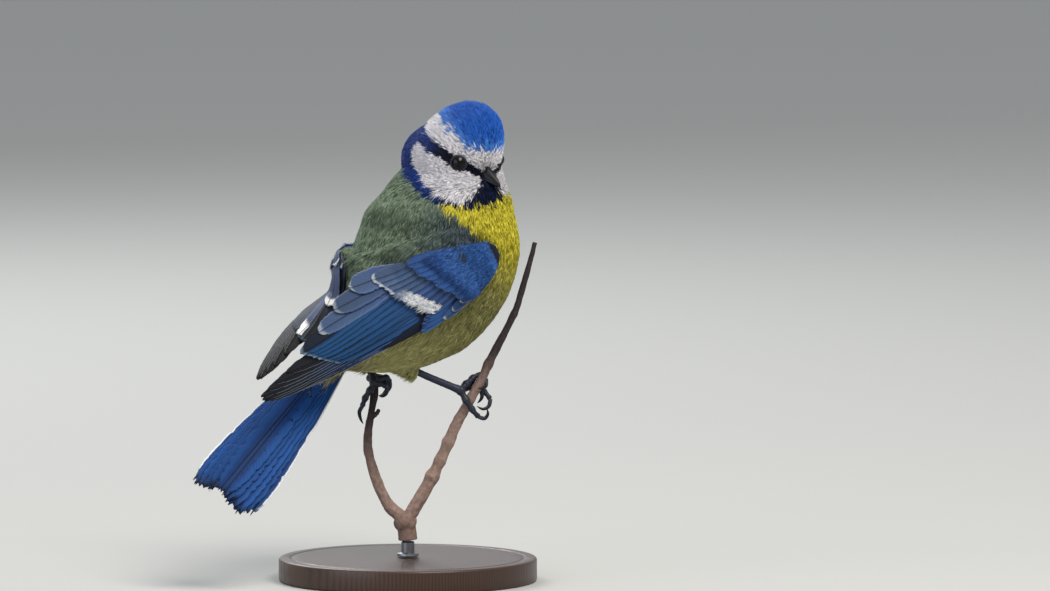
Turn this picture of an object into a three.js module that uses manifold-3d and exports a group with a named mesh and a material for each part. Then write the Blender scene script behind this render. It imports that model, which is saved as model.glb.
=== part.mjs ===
// A life-size blue tit perched across a forked twig on a plain display stand. Millimetres, +Z up.
// The body faces +X, the bird's left is +Y, and the origin is the centre of the stand's underside.
import * as THREE from "three";
import { mergeVertices } from "three/addons/utils/BufferGeometryUtils.js";
import Module from "manifold-3d";

const wasm = await Module();
wasm.setup();

// Gaps and thicknesses
const GAP = 0.3;
const VANE_THICK = 0.8;
const MERGE_WITHIN = 1e-4;
const WELD = 3e-3; // vertices of a finished node closer than this are one

// Stand and perch
const BASE_RADIUS = 31;
const BASE_THICK = 5.5;
const BASE_CHAMFER = 1.2;
const ROD_RADIUS = 1.6;
const ROD_TOP = 9.4;
const TWIG_WAVE = { size: 0.05, turns: 23 }; // how the twigs' radius swells and shrinks along them
const TWIG_TURN = THREE.MathUtils.degToRad(-32); // the fork spreads in a plane at this angle to +X
// Twig centrelines as [sideways, depth, height] in the fork's plane, with the radius at each end
const STEM = { path: [[0, 0, 9.7], [-0.2, 0, 12], [-0.6, 0, 14.6]], from: 2.3, to: 2.15 };
const KNUCKLE = { at: [-0.6, 0, 14], radius: 2.75 };
const BRANCH_RIGHT = {
  path: [[0.2, 0, 15.2], [4.1, 0, 21.7], [7.7, 0, 28.7], [11.3, -0.2, 36.9], [13.1, -0.3, 40.2],
    [14.3, -0.4, 42.4], [16.4, -0.4, 46.1], [17.6, -0.4, 48.2], [19.1, -0.3, 51.6], [21.4, 0.1, 56.1],
    [25.7, 0.6, 64.6], [27.4, 0.8, 69.9], [29.3, 1.1, 76.6], [30.5, 1.2, 81.2]],
  from: 1.6, to: 0.55,
};
const BRANCH_LEFT = {
  path: [[-1.4, 0, 15.2], [-4.8, 0.2, 18.3], [-7.7, 0.5, 24.6], [-9.4, 0.8, 30.6], [-9.6, 1, 34.5],
    [-9.1, 1, 38.3], [-8.4, 1, 42.2], [-7.9, 1, 45.3], [-7.4, 1, 48.2]],
  from: 1.5, to: 0.65,
};
const BUD = { path: [[-8.6, 0.9, 39.4], [-7.5, 0.4, 40.1], [-6.9, 0.1, 41.1]], from: 0.75, to: 0.35 };

// Legs, also in the fork's plane; a toe ends where its claw starts
const LEG = {
  right: {
    thigh: [[-6.5, -4.6, 55.2], [-2.2, -4.5, 52.8], [2.4, -4, 50.6]],
    tarsus: [[0.6, -4.3, 51.4], [5, -3.6, 49.3], [8.9, -2.9, 47.6], [12.3, -2.2, 46.1]],
    toes: [
      [[12.7, -2.1, 45.9], [14, -2.6, 43.6], [15.7, -2.3, 41], [17, -1.6, 39.5]],
      [[12.7, -2, 45.9], [13.9, 0.2, 46.4], [15.8, 1.7, 45.9], [18, 1.4, 45.5], [19.8, 0.6, 43.6]],
      [[12.7, -2, 46], [14.6, -0.3, 47.8], [16.6, 1, 49.2], [18.1, 1.1, 49], [18.8, 0.2, 47.8]],
      [[12.7, -2, 46], [14.2, 0.2, 47.1], [15.7, 1.5, 47.2], [17.3, 1.4, 46.6], [17.6, 0.7, 45.5]],
    ],
    claws: [
      [[17, -1.6, 39.5], [18.4, -1.2, 39.1], [19.2, -1, 40.1], [19, -1, 41.4]],
      [[19.8, 0.6, 43.6], [19.4, 0.1, 41.9], [18, -0.6, 41.3], [16.6, -1, 42]],
      [[18.8, 0.2, 47.8], [18.7, -0.7, 46.9], [17.9, -1.8, 46.4], [16.8, -2.5, 46.5]],
      [[17.6, 0.7, 45.5], [17.8, 0.2, 44.3], [17.4, -0.2, 43.4], [16.7, -0.5, 42.7]],
    ],
  },
  left: {
    thigh: [[-12, 3.6, 56], [-10.4, 2.7, 53], [-9.2, 1.4, 50.6]],
    tarsus: [[-9.6, 1.8, 51.4], [-8.7, 0.6, 49.6], [-8.1, -0.6, 47.9]],
    toes: [
      [[-8, -0.8, 47.7], [-8.9, -0.7, 46], [-10.1, -0.4, 44.1], [-10.9, 0.3, 41.9]],
      [[-8, -0.8, 47.7], [-6.5, -1, 48.7], [-5, -0.6, 48.8], [-4.3, 0, 47.8]],
      [[-8, -0.8, 47.7], [-6.7, -1.2, 47.5], [-5.4, -1, 47], [-4.8, -0.4, 46]],
      [[-8.2, -0.6, 48], [-9, 1.2, 48.7], [-7.6, 2.9, 48.9], [-6, 2.9, 48.2], [-5.3, 2.4, 47.2]],
    ],
    claws: [
      [[-10.9, 0.3, 41.9], [-11.6, 0.3, 40.5], [-11.3, 0.5, 38.8], [-10.7, 0.9, 37.6]],
      [[-4.3, 0, 47.8], [-4.3, 0.1, 46.5], [-5.2, 0.2, 45.2], [-6.6, -0.2, 44.2]],
      [[-4.8, -0.4, 46], [-5.3, -0.6, 44.9], [-6.1, -0.8, 44.4], [-7, -1, 44.6]],
      [[-5.3, 2.4, 47.2], [-5, 2.1, 46], [-5.8, 2.3, 44.8], [-6.7, 2.4, 44.3]],
    ],
  },
};
const THIGH_RADII = [3.6, 1.9];
const TARSUS_RADII = [0.85, 0.95];
const TOE_RADII = [0.85, 0.6];
const CLAW_RADII = [0.48, 0.1];
const PALM_RADIUS = 1.25;

// Body: oval slices up one curved line, from the vent to the top of the neck
const BODY = {
  x: [-22, -17.5, -10, -2, 4.5, 8.3, 10.5, 12.2],
  z: [55.5, 58.5, 63.5, 69.5, 76.8, 84.4, 91.5, 98.5],
  lean: [35, 36, 42, 50, 60, 70, 80, 88],
  front: [2, 10, 17.6, 21.8, 22.8, 21.4, 17.2, 13],
  back: [1.5, 5.5, 10, 14.5, 17.2, 17.4, 15, 12],
  side: [2, 8.5, 14.5, 18.4, 19.8, 19.4, 16.2, 12.6],
};
const NECK_FROM = 0.84; // share of the body line where the collar starts
const NECK_GAP = 0.008; // share of the body line between the body and the collar
const COLLAR = { at: [12, -2, 93.4], slope: 0.42 }; // the collar's top falls towards the way the head faces

// Head, in its own frame: forward, right, up
const HEAD_AT = [12.9, -2.5, 101.9];
const HEAD_TURN = THREE.MathUtils.degToRad(-74);
const HEAD_NOD = THREE.MathUtils.degToRad(20);
const HEAD = { front: 10.6, back: 12, side: 11.3, top: 13.4, bottom: 13.4 };
// Swellings and hollows of the head: direction, how far out, and how wide in degrees
const HEAD_FORMS = [
  { toward: [0.5, 0, 0.86], out: 1.2, wide: 36 },
  { toward: [-0.8, 0, 0.6], out: -2.8, wide: 36 },
  { toward: [-0.85, 0, -0.45], out: 2.6, wide: 36 },
  { toward: [0.3, 0.75, -0.55], out: 2, wide: 34 },
  { toward: [0.3, -0.75, -0.55], out: 2.4, wide: 34 },
  { toward: [0.98, 0, -0.1], out: -1.1, wide: 16 },
  { toward: [0.62, 0.75, 0.1], out: -0.9, wide: 22 },
  { toward: [0.62, -0.75, 0.1], out: -0.9, wide: 22 },
];
const EYE_RADIUS = 2.1;
const EYE_AT = { forward: 5.9, side: 6.5, up: 1 };
const LID = { radius: 1.75, thick: 0.42, out: 1.3 };
const BILL = { base: 9, tip: 14.9, halfWidth: 2.1, up: 2.3, down: 1.93, height: -1.3, droop: 0.5 };
const BILL_TAPER = 0.72; // how the bill narrows: under 1 keeps it stout towards its tip
const BILL_BLUNT = 0.05; // share of its base that its tip keeps
const NOSTRIL = { forward: 10.7, side: 1.36, up: -0.05, radius: 0.36 };

// Wings: a curved sheet, p along the wing from the wrist and q across it towards the back
const WING_LENGTH = 67;
const WING_PLACE = {
  right: {
    sign: -1, wrist: [12.6, -18, 77.7], tip: [-44.6, -3, 45.2],
    facing: [[-0.33, -0.92, 0.2], [-0.33, -0.9, 0.3]], reach: [1, 1],
  },
  left: {
    sign: 1, wrist: [12.6, 18, 77.7], tip: [-43.8, -3.2, 49.6],
    facing: [[-0.33, 0.9, 0.25], [-0.75, -0.35, 0.56]], reach: [0.42, 1.35],
  },
};
const WING_TWIST = 46; // mm along the wing by which its facing has turned
const WING_BULGE = 6;
const WING_CLEAR = 1.3; // mm between the body and the middle of the folded wing
const WING_MOST_PUSH = 9; // mm that the wing is moved outwards at most, to lie on the body
const WING_ROUND = 21; // mm, radius of the wing across its width at the wrist
const WING_FLATTER = 1.6; // how much larger that radius is at the wing's end
const WING_BULGE_LEAN = 0.25; // how much less the wing bulges towards its end
const WING_PUSH_STEP = 0.1;
const FLANK_RADIUS = 18; // mm, the body's radius under the wing
// The plate under the feathers: its edges as [p, q]
const WING_EDGE_LOW = [
  [-1.5, 0.4], [0, -1.8], [3, -3.8], [9.8, -6], [18.5, -6.2], [32.5, -5.6], [42.8, -3.6], [56, -1],
];
const WING_EDGE_HIGH = [
  [-1.5, 2.4], [0, 4.2], [6, 6.4], [13.5, 8], [20, 10.4], [26.8, 12], [34, 9.4], [44, 5.4], [56, 0.6],
];
// How deep and how high the plate is at the wrist and at the end; its top is level after the front part
const WING_PLATE = { from: -1.5, to: 56, under: [-2.2, -0.5], over: [2.3, 0], frontPart: 1 / 1.9 };
// Tiers of wing feathers, lowest layer first. Each gives its first and last feather's root and tip as [p, q],
// how far the middle feathers reach past that line, their widths and how far they lie above the sheet.
const WING_TIERS = {
  primaries: {
    count: 6, roots: [[19, -5], [24, -0.5]], tips: [[57.5, -2.7], [57, 2]], arch: 8.3,
    widths: [2.7, 3.6], lifts: [0, 0.6], steps: 4,
  },
  secondaries: {
    count: 4, roots: [[21, -2.5], [23, 6.5]], tips: [[46.5, -1.6], [52, 4.2]], arch: 0,
    widths: [4, 4.8], lifts: [0.6, 1.2], steps: 4,
  },
  tertials: {
    count: 3, roots: [[21, 7.4], [22, 9.6]], tips: [[46, 6.4], [34, 11.4]], arch: 0,
    widths: [5, 5.6], lifts: [1.25, 1.75], steps: 3,
  },
  primaryCoverts: {
    count: 3, roots: [[12, -4.8], [13, -3.4]], tips: [[24.5, -6], [22, -3.6]], arch: 0,
    widths: [2.2, 2.5], lifts: [0.6, 1.1], steps: 2, sides: 4,
  },
  greaterCoverts: {
    count: 7, roots: [[13, -1.8], [18, 8.8]], tips: [[20.6, -3.1], [28.4, 10.2]], arch: 0.8,
    widths: [3.1, 3.5], lifts: [1.3, 1.9], steps: 2, sides: 4,
  },
  thumbFeathers: {
    count: 2, roots: [[6, -4], [6, -3.2]], tips: [[18, -6], [13.5, -5.2]], arch: 0,
    widths: [2.4, 2.6], lifts: [1.3, 1.7], steps: 2, sides: 4,
  },
  medianCoverts: {
    count: 5, roots: [[7.5, -1.8], [11, 7.2]], tips: [[13.5, -3], [20, 8.8]], arch: 0.6,
    widths: [3.9, 4.3], lifts: [1.9, 2.3], steps: 2, sides: 4,
  },
  lesserCoverts: {
    count: 4, roots: [[3.5, -2.4], [6, 5.4]], tips: [[8.5, -3.8], [14, 7]], arch: 0.6,
    widths: [4.2, 4.5], lifts: [2.1, 2.5], steps: 2, sides: 4,
  },
};
const FEATHER_SINK = 0.7; // mm that each feather's root lies deeper than its tip
const FEATHER_TILT = -0.22; // mm that its lower edge stands over its middle
const FEATHER_SEED = 21;
const FEATHER_ROUND_FROM = 0.72; // share of a feather's length at which its end starts to round
const FEATHER_FOOT = { share: 0.55, until: 0.4 }; // how wide a root is, and where the feather is full width
const TIP_VARIES = [0.25, 0.12]; // mm that the wing's feather tips differ along and across

// Tail: a fan of twelve feathers, the middle pair on top
const TAIL_ROOT = [-17.5, 0.2, 58.2];
const TAIL_TIP = [-50.8, 0.9, 24.2];
const TAIL_ROLL = THREE.MathUtils.degToRad(-44);
const TAIL_SPREAD = THREE.MathUtils.degToRad(7);
const TAIL_PAIRS = 6;
const TAIL_LENGTH = 49.5;
const TAIL_ARCH = 0.012; // how fast the fan falls off to its sides
const TAIL_FEATHER = {
  root: 2, rootStep: 0.35, width: 7.4, narrower: 0.25, lift: 1.2, lower: 0.42, blunt: 0.5,
};
// Which pair reaches furthest, and by how much the others fall short
const TAIL_ENDS = { shorter: 0.012, longest: 2.2, varies: 0.3 };
const RUMP = { from: -3, to: 16, halfWidths: [5.5, 4], halfDepths: [2.6, 1] };

const COLOURS = {
  white: 0xdfdde2, collar: 0x1a2f6b, back: 0x5f7450, belly: 0xb4ad4c,
  wing: 0x2c5590, tail: 0x2b5fae, leg: 0x1d2536, bill: 0x10131c, eye: 0x0a0708,
  bark: 0x5b4a44, wood: 0x3a2a20, rod: 0x6d6f73,
};

const root = new THREE.Group();

// A solid's surface as a geometry of three.js.
function geometryOf(solid) {
  const { vertProperties, triVerts, numProp, numVert } = solid.getMesh();
  const points = new Float32Array(numVert * 3);
  for (let i = 0; i < numVert; i++) points.set(vertProperties.subarray(i * numProp, i * numProp + 3), i * 3);
  const geometry = new THREE.BufferGeometry();
  geometry.setAttribute("position", new THREE.BufferAttribute(points, 3));
  geometry.setIndex(new THREE.BufferAttribute(new Uint32Array(triVerts), 1));
  return geometry;
}

// A closed geometry as a solid, with its faces turned outwards. Vertices closer than the weld become one,
// and the faces that this flattens, alone or against each other, are left out.
function solidOf(geometry, weld = MERGE_WITHIN) {
  const bare = geometry.clone();
  bare.deleteAttribute("normal");
  bare.deleteAttribute("uv");
  const merged = mergeVertices(bare, weld);
  const corners = merged.index.array;
  const faces = new Map();
  for (let i = 0; i < corners.length; i += 3) {
    const face = [corners[i], corners[i + 1], corners[i + 2]];
    if (new Set(face).size < 3) continue;
    const key = [...face].sort((a, b) => a - b).join();
    if (faces.has(key)) faces.delete(key);
    else faces.set(key, face);
  }
  const make = (list) => new wasm.Manifold(new wasm.Mesh({
    numProp: 3, vertProperties: merged.attributes.position.array, triVerts: new Uint32Array(list),
  }));
  const list = [...faces.values()].flat();
  const solid = make(list);
  return solid.volume() > 0 ? solid : make(list.reverse());
}

// Adds a named mesh of one material to the model, its closest vertices welded.
function add(name, solid, colour, roughness = 0.85, metalness = 0) {
  const geometry = geometryOf(largest(solidOf(geometryOf(solid), WELD)));
  geometry.computeVertexNormals();
  const material = new THREE.MeshStandardMaterial({ color: colour, roughness, metalness });
  const mesh = new THREE.Mesh(geometry, material);
  mesh.name = name;
  root.add(mesh);
}

// Moves every vertex of a unit geometry to the point that place() gives for it.
function warped(geometry, place) {
  const at = geometry.attributes.position;
  for (let i = 0; i < at.count; i++) {
    const p = place(at.getX(i), at.getY(i), at.getZ(i));
    at.setXYZ(i, p.x, p.y, p.z);
  }
  return solidOf(geometry);
}

// A closed tube of sections: section(t, angle, reach) gives a point, with reach 0 at the end caps' centres.
function loft(sides, steps, section) {
  return warped(new THREE.CylinderGeometry(1, 1, 1, sides, steps), (x, y, z) =>
    section(y + 0.5, Math.atan2(z, x), Math.hypot(x, z)));
}

// The largest closed surface of some solids joined together.
function fused(...solids) {
  const whole = solids.reduce((joined, next) => joined.add(next));
  return largest(whole);
}

function largest(solid) {
  return solid.decompose().reduce((best, piece) => (piece.volume() > best.volume() ? piece : best));
}

const vec = (x, y, z) => new THREE.Vector3(x, y, z);
const mix = (a, b, t) => a + (b - a) * t;

// A smooth value through evenly spaced keys.
function through(keys, t) {
  const last = keys.length - 1;
  const x = Math.min(Math.max(t, 0) * last, last - 1e-6);
  const i = Math.floor(x);
  const f = x - i;
  const at = (k) => keys[Math.max(0, Math.min(last, k))];
  const [a, b, c, d] = [at(i - 1), at(i), at(i + 1), at(i + 2)];
  return 0.5 * (2 * b + (c - a) * f + (2 * a - 5 * b + 4 * c - d) * f * f + (3 * b - a - 3 * c + d) * f ** 3);
}

// A point of the body's surface, grown outwards. Angle 0 is the breast side and 90 degrees the bird's left.
function bodyPoint(t, angle, reach, grow = 0) {
  const lean = THREE.MathUtils.degToRad(through(BODY.lean, t));
  const front = vec(Math.sin(lean), 0, -Math.cos(lean));
  const deep = through(Math.cos(angle) > 0 ? BODY.front : BODY.back, t) + grow;
  const side = through(BODY.side, t) + grow;
  return vec(through(BODY.x, t), 0, through(BODY.z, t))
    .addScaledVector(front, reach * deep * Math.cos(angle))
    .addScaledVector(vec(0, 1, 0), reach * side * Math.sin(angle));
}

// How far out a point is from the body's line, as a share of the body's radius there.
function bodyShare(point) {
  let low = 0;
  let high = 1;
  const offset = vec(0, 0, 0);
  for (let i = 0; i < 20; i++) {
    const t = (low + high) / 2;
    const lean = THREE.MathUtils.degToRad(through(BODY.lean, t));
    offset.set(point.x - through(BODY.x, t), point.y, point.z - through(BODY.z, t));
    if (offset.x * Math.cos(lean) + offset.z * Math.sin(lean) > 0) low = t;
    else high = t;
  }
  const lean = THREE.MathUtils.degToRad(through(BODY.lean, low));
  const ahead = offset.x * Math.sin(lean) - offset.z * Math.cos(lean);
  const deep = through(ahead > 0 ? BODY.front : BODY.back, low);
  return low < 1e-5 ? 2 : Math.hypot(ahead / deep, offset.y / through(BODY.side, low));
}

// The body between two shares of its line.
function bodySolid(from, to, steps, grow = 0, sides = 28) {
  return loft(sides, steps, (t, angle, reach) => bodyPoint(mix(from, to, t), angle, reach, grow));
}

// The head's axes and the point at a local forward, right, up position.
const headForward = vec(
  Math.cos(HEAD_TURN) * Math.cos(HEAD_NOD), Math.sin(HEAD_TURN) * Math.cos(HEAD_NOD), -Math.sin(HEAD_NOD));
const headRight = vec(Math.sin(HEAD_TURN), -Math.cos(HEAD_TURN), 0);
const headUp = headRight.clone().cross(headForward);
function headPoint(forward, right, up) {
  return vec(...HEAD_AT).addScaledVector(headForward, forward)
    .addScaledVector(headRight, right).addScaledVector(headUp, up);
}

// How far the head's surface is from its centre in a local direction.
function headReach(forward, right, up) {
  const long = forward > 0 ? HEAD.front : HEAD.back;
  const tall = up > 0 ? HEAD.top : HEAD.bottom;
  let reach = 1 / Math.hypot(forward / long, right / HEAD.side, up / tall);
  for (const { toward, out, wide } of HEAD_FORMS) {
    const away = vec(forward, right, up).angleTo(vec(...toward)) / THREE.MathUtils.degToRad(wide);
    reach += out * Math.exp(-away * away);
  }
  return reach;
}

function headSolid(grow = 0, around = 30, down = 20) {
  return warped(new THREE.SphereGeometry(1, around, down), (x, y, z) => {
    const reach = headReach(x, z, y) + grow;
    return headPoint(x * reach, z * reach, y * reach);
  });
}

// A ball at a point of the row frame.
function ball(at, radius, around = 20, down = 14) {
  return solidOf(new THREE.SphereGeometry(radius, around, down).translate(at.x, at.y, at.z));
}

// A round tube along a smooth line through points, with a radius that changes along it.
function tube(points, radiusAt, sides, steps) {
  const line = new THREE.CatmullRomCurve3(points);
  const { normals, binormals } = line.computeFrenetFrames(steps);
  return loft(sides, steps, (t, angle, reach) => {
    const i = Math.round(t * steps);
    const out = radiusAt(t) * reach;
    return line.getPointAt(Math.min(Math.max(t, 0), 1))
      .addScaledVector(normals[i], Math.cos(angle) * out)
      .addScaledVector(binormals[i], Math.sin(angle) * out);
  });
}

// A seeded random amount, from -size to size.
const vary = (size) => (THREE.MathUtils.seededRandom() * 2 - 1) * size;

// One feather laid on a curved sheet, where sheet(p, q, lift) gives a point. Its edges are thin.
function vane(sheet, { root: from, tip, width, lift, steps, sides = 6, blunt = 0.35 }, grow = 0) {
  const along = new THREE.Vector2(tip[0] - from[0], tip[1] - from[1]).normalize();
  const edge = sides === 4 ? 1 : Math.sin(Math.PI / 3);
  return warped(new THREE.CylinderGeometry(1, 1, 1, sides, steps), (x, y, z) => {
    const t = y + 0.5;
    const end = Math.max(0, t - FEATHER_ROUND_FROM) / (1 - FEATHER_ROUND_FROM);
    const rounded = Math.sqrt(1 - end * end * (1 - blunt * blunt));
    const spread = mix(FEATHER_FOOT.share, 1, Math.min(1, t / FEATHER_FOOT.until));
    const across = (x / edge) * ((width / 2) * rounded * spread + grow);
    const up = lift - FEATHER_SINK * (1 - t) + (FEATHER_TILT * across) / width + z * (VANE_THICK / 2 + grow);
    return sheet(mix(from[0], tip[0], t) - along.y * across, mix(from[1], tip[1], t) + along.x * across, up);
  });
}

// Stand
function buildStand() {
  const rim = BASE_RADIUS;
  const profile = [
    [0, 0], [rim - BASE_CHAMFER / 2, 0], [rim, BASE_CHAMFER / 2], [rim, BASE_THICK - BASE_CHAMFER],
    [rim - BASE_CHAMFER, BASE_THICK], [0, BASE_THICK],
  ].map(([r, z]) => new THREE.Vector2(r, z));
  add("stand_base", solidOf(new THREE.LatheGeometry(profile, 48).rotateX(Math.PI / 2)), COLOURS.wood, 0.45);
  const low = BASE_THICK + GAP;
  const rod = new THREE.CylinderGeometry(ROD_RADIUS, ROD_RADIUS, ROD_TOP - low, 18)
    .rotateX(Math.PI / 2).translate(0, 0, (low + ROD_TOP) / 2);
  add("stand_rod", solidOf(rod), COLOURS.rod, 0.35, 0.9);
}

// A point given sideways, in depth and in height in the fork's plane.
function inFork([sideways, depth, height]) {
  const c = Math.cos(TWIG_TURN);
  const s = Math.sin(TWIG_TURN);
  return vec(sideways * c - depth * s, sideways * s + depth * c, height);
}

function twig({ path, from, to }, sides, steps, grow = 0) {
  const wave = (t) => 1 + TWIG_WAVE.size * Math.sin(t * TWIG_WAVE.turns);
  return tube(path.map(inFork), (t) => mix(from, to, t) * wave(t) + grow, sides, steps);
}

function buildPerch() {
  const stem = twig(STEM, 12, 4);
  const knuckle = ball(inFork(KNUCKLE.at), KNUCKLE.radius, 14, 8);
  const fork = fused(stem, knuckle);
  const right = twig(BRANCH_RIGHT, 8, 30);
  const left = fused(twig(BRANCH_LEFT, 8, 18), twig(BUD, 6, 3));
  const cut = fused(twig(STEM, 12, 4, GAP), ball(inFork(KNUCKLE.at), KNUCKLE.radius + GAP, 14, 8));
  const rightClear = largest(right.subtract(cut));
  const leftClear = largest(left.subtract(cut).subtract(twig(BRANCH_RIGHT, 8, 30, GAP)));
  add("perch_fork", fork, COLOURS.bark, 0.9);
  add("perch_branch_right", rightClear, COLOURS.bark, 0.9);
  add("perch_branch_left", leftClear, COLOURS.bark, 0.9);
}

// A straight change of radius along a limb, with a rounded end.
function limb(path, [from, to], sides, steps, grow = 0) {
  const points = path.map(inFork);
  const shaft = tube(points, (t) => mix(from, to, t) + grow, sides, steps);
  return shaft.add(ball(points[points.length - 1], to + grow, sides, Math.ceil(sides / 2)));
}

function footSolid({ toes }, grow = 0) {
  const palm = ball(inFork(toes[0][0]), PALM_RADIUS + grow, 10, 6);
  return fused(palm, ...toes.map((path) => limb(path, TOE_RADII, 6, 5, grow)));
}

function buildLegs(torsoGrown) {
  const perchGrown = twig(BRANCH_RIGHT, 8, 30, GAP).add(twig(BRANCH_LEFT, 8, 18, GAP));
  for (const [name, leg] of Object.entries(LEG)) {
    const foot = largest(footSolid(leg).subtract(perchGrown));
    const footGrown = footSolid(leg, GAP);
    const thighGrown = limb(leg.thigh, THIGH_RADII, 10, 4, GAP);
    const tarsus = tube(leg.tarsus.map(inFork), (t) => mix(...TARSUS_RADII, t), 8, 6);
    add("foot_" + name, foot, COLOURS.leg, 0.55);
    add("tarsus_" + name, largest(tarsus.subtract(footGrown).subtract(thighGrown).subtract(torsoGrown)),
      COLOURS.leg, 0.55);
    const thigh = limb(leg.thigh, THIGH_RADII, 10, 4).subtract(torsoGrown).subtract(footGrown);
    add("thigh_" + name, largest(thigh), COLOURS.belly);
    leg.claws.forEach((path, i) => {
      const claw = tube(path.map(inFork), (t) => mix(...CLAW_RADII, t), 6, 6);
      const clear = largest(claw.subtract(footGrown).subtract(perchGrown));
      add(`claw_${name}_${i + 1}`, clear, COLOURS.bill, 0.35);
    });
  }
}

// Wings
function wingSheet({ sign, wrist, tip, facing, reach }) {
  const from = vec(...wrist);
  const along = vec(...tip).sub(from).normalize();
  return (p, across, lift) => {
    const u = p / WING_LENGTH;
    const q = across * (across > 0 ? mix(...reach, Math.min(u, 1)) : 1);
    const out = vec(...facing[0]).lerp(vec(...facing[1]), Math.min(Math.max(p / WING_TWIST, 0), 1));
    out.addScaledVector(along, -out.dot(along)).normalize();
    const dorsal = along.clone().cross(out).multiplyScalar(-sign);
    const bulge = WING_BULGE * 4 * u * (1 - u) * (1 - WING_BULGE_LEAN * u);
    const round = (q - 1) ** 2 / (2 * mix(WING_ROUND, WING_FLATTER * WING_ROUND, u));
    const point = from.clone().addScaledVector(along, p).addScaledVector(dorsal, q);
    point.addScaledVector(out, bulge - round);
    const clear = 1 + WING_CLEAR / FLANK_RADIUS;
    let push = 0;
    while (push < WING_MOST_PUSH && bodyShare(point.clone().addScaledVector(out, push)) < clear) {
      push += WING_PUSH_STEP;
    }
    return point.addScaledVector(out, push + lift);
  };
}

// The height of an edge polyline at p.
function edgeAt(edge, p) {
  const i = Math.max(1, edge.findIndex(([x]) => x >= p));
  const [[x0, y0], [x1, y1]] = [edge[i - 1], edge[i]];
  return mix(y0, y1, (p - x0) / (x1 - x0));
}

// The plate under the feathers, from edge to edge of the folded wing.
function wingPlate(sheet, grow = 0) {
  const { from, to, under, over } = WING_PLATE;
  return warped(new THREE.BoxGeometry(1, 1, 1, 12, 4, 1), (x, y, z) => {
    const t = x + 0.5;
    const p = mix(from - grow, to + grow, t);
    const q = mix(edgeAt(WING_EDGE_LOW, p) - grow, edgeAt(WING_EDGE_HIGH, p) + grow, y + 0.5);
    const front = Math.min(1, t / WING_PLATE.frontPart);
    return sheet(p, q, z > 0 ? mix(...over, front) + grow : mix(...under, t) - grow);
  });
}

// Where each feather of a wing lies, from the tiers.
function wingFeathers() {
  const feathers = [];
  for (const { count, roots, tips, arch, widths, lifts, steps, sides } of Object.values(WING_TIERS)) {
    for (let i = 0; i < count; i++) {
      const f = i / (count - 1);
      const between = ([a, b]) => [mix(a[0], b[0], f), mix(a[1], b[1], f)];
      const tip = between(tips);
      tip[0] += 4 * arch * f * (1 - f) + vary(TIP_VARIES[0]);
      tip[1] += vary(TIP_VARIES[1]);
      const width = mix(...widths, f);
      feathers.push({ root: between(roots), tip, width, lift: mix(...lifts, f), steps, sides });
    }
  }
  return feathers;
}

function buildWings(torsoGrown) {
  THREE.MathUtils.seededRandom(FEATHER_SEED);
  const feathers = wingFeathers();
  const wing = (sheet, grow) => {
    const vanes = feathers.map((feather) => vane(sheet, feather, grow));
    return fused(wingPlate(sheet, grow), ...vanes);
  };
  const right = wingSheet(WING_PLACE.right);
  const left = wingSheet(WING_PLACE.left);
  const rightWing = wing(right, 0).subtract(torsoGrown);
  const leftWing = wing(left, 0).subtract(torsoGrown).subtract(wing(right, GAP));
  add("wing_right", largest(rightWing), COLOURS.wing);
  add("wing_left", largest(leftWing), COLOURS.wing);
}

// Tail
function tailSheet() {
  const from = vec(...TAIL_ROOT);
  const along = vec(...TAIL_TIP).sub(from).normalize();
  const left = vec(0, 1, 0).applyAxisAngle(along, TAIL_ROLL);
  left.addScaledVector(along, -left.dot(along)).normalize();
  const up = left.clone().cross(along).negate();
  if (up.z < 0) up.negate();
  return (p, q, lift) => from.clone().addScaledVector(along, p).addScaledVector(left, q)
    .addScaledVector(up, lift - q * q * TAIL_ARCH);
}

// The tail's feathers in pairs from the middle out, each pair under the one before.
function tailFeathers() {
  const feathers = [];
  const { rootStep, width, narrower, lift, lower, blunt } = TAIL_FEATHER;
  for (const side of [-1, 1]) {
    for (let i = 0; i < TAIL_PAIRS; i++) {
      const angle = side * TAIL_SPREAD * ((i + 0.35) / (TAIL_PAIRS - 0.65));
      const reach = 1 - TAIL_ENDS.shorter * Math.abs(i - TAIL_ENDS.longest);
      const long = TAIL_LENGTH * reach + vary(TAIL_ENDS.varies);
      const root = [TAIL_FEATHER.root, side * (0.25 + rootStep * i)];
      const tip = [long * Math.cos(angle), root[1] + long * Math.sin(angle)];
      feathers.push({ root, tip, width: width - narrower * i, lift: lift - lower * i, steps: 4, blunt });
    }
  }
  return feathers;
}

function buildTail(torsoGrown) {
  const sheet = tailSheet();
  const rump = loft(14, 4, (t, angle, reach) => {
    const across = Math.cos(angle) * reach * mix(...RUMP.halfWidths, t);
    const above = Math.sin(angle) * reach * mix(...RUMP.halfDepths, t);
    return sheet(mix(RUMP.from, RUMP.to, t), across, above);
  });
  const tail = fused(rump, ...tailFeathers().map((feather) => vane(sheet, feather)));
  add("tail", largest(tail.subtract(torsoGrown)), COLOURS.tail);
}

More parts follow.
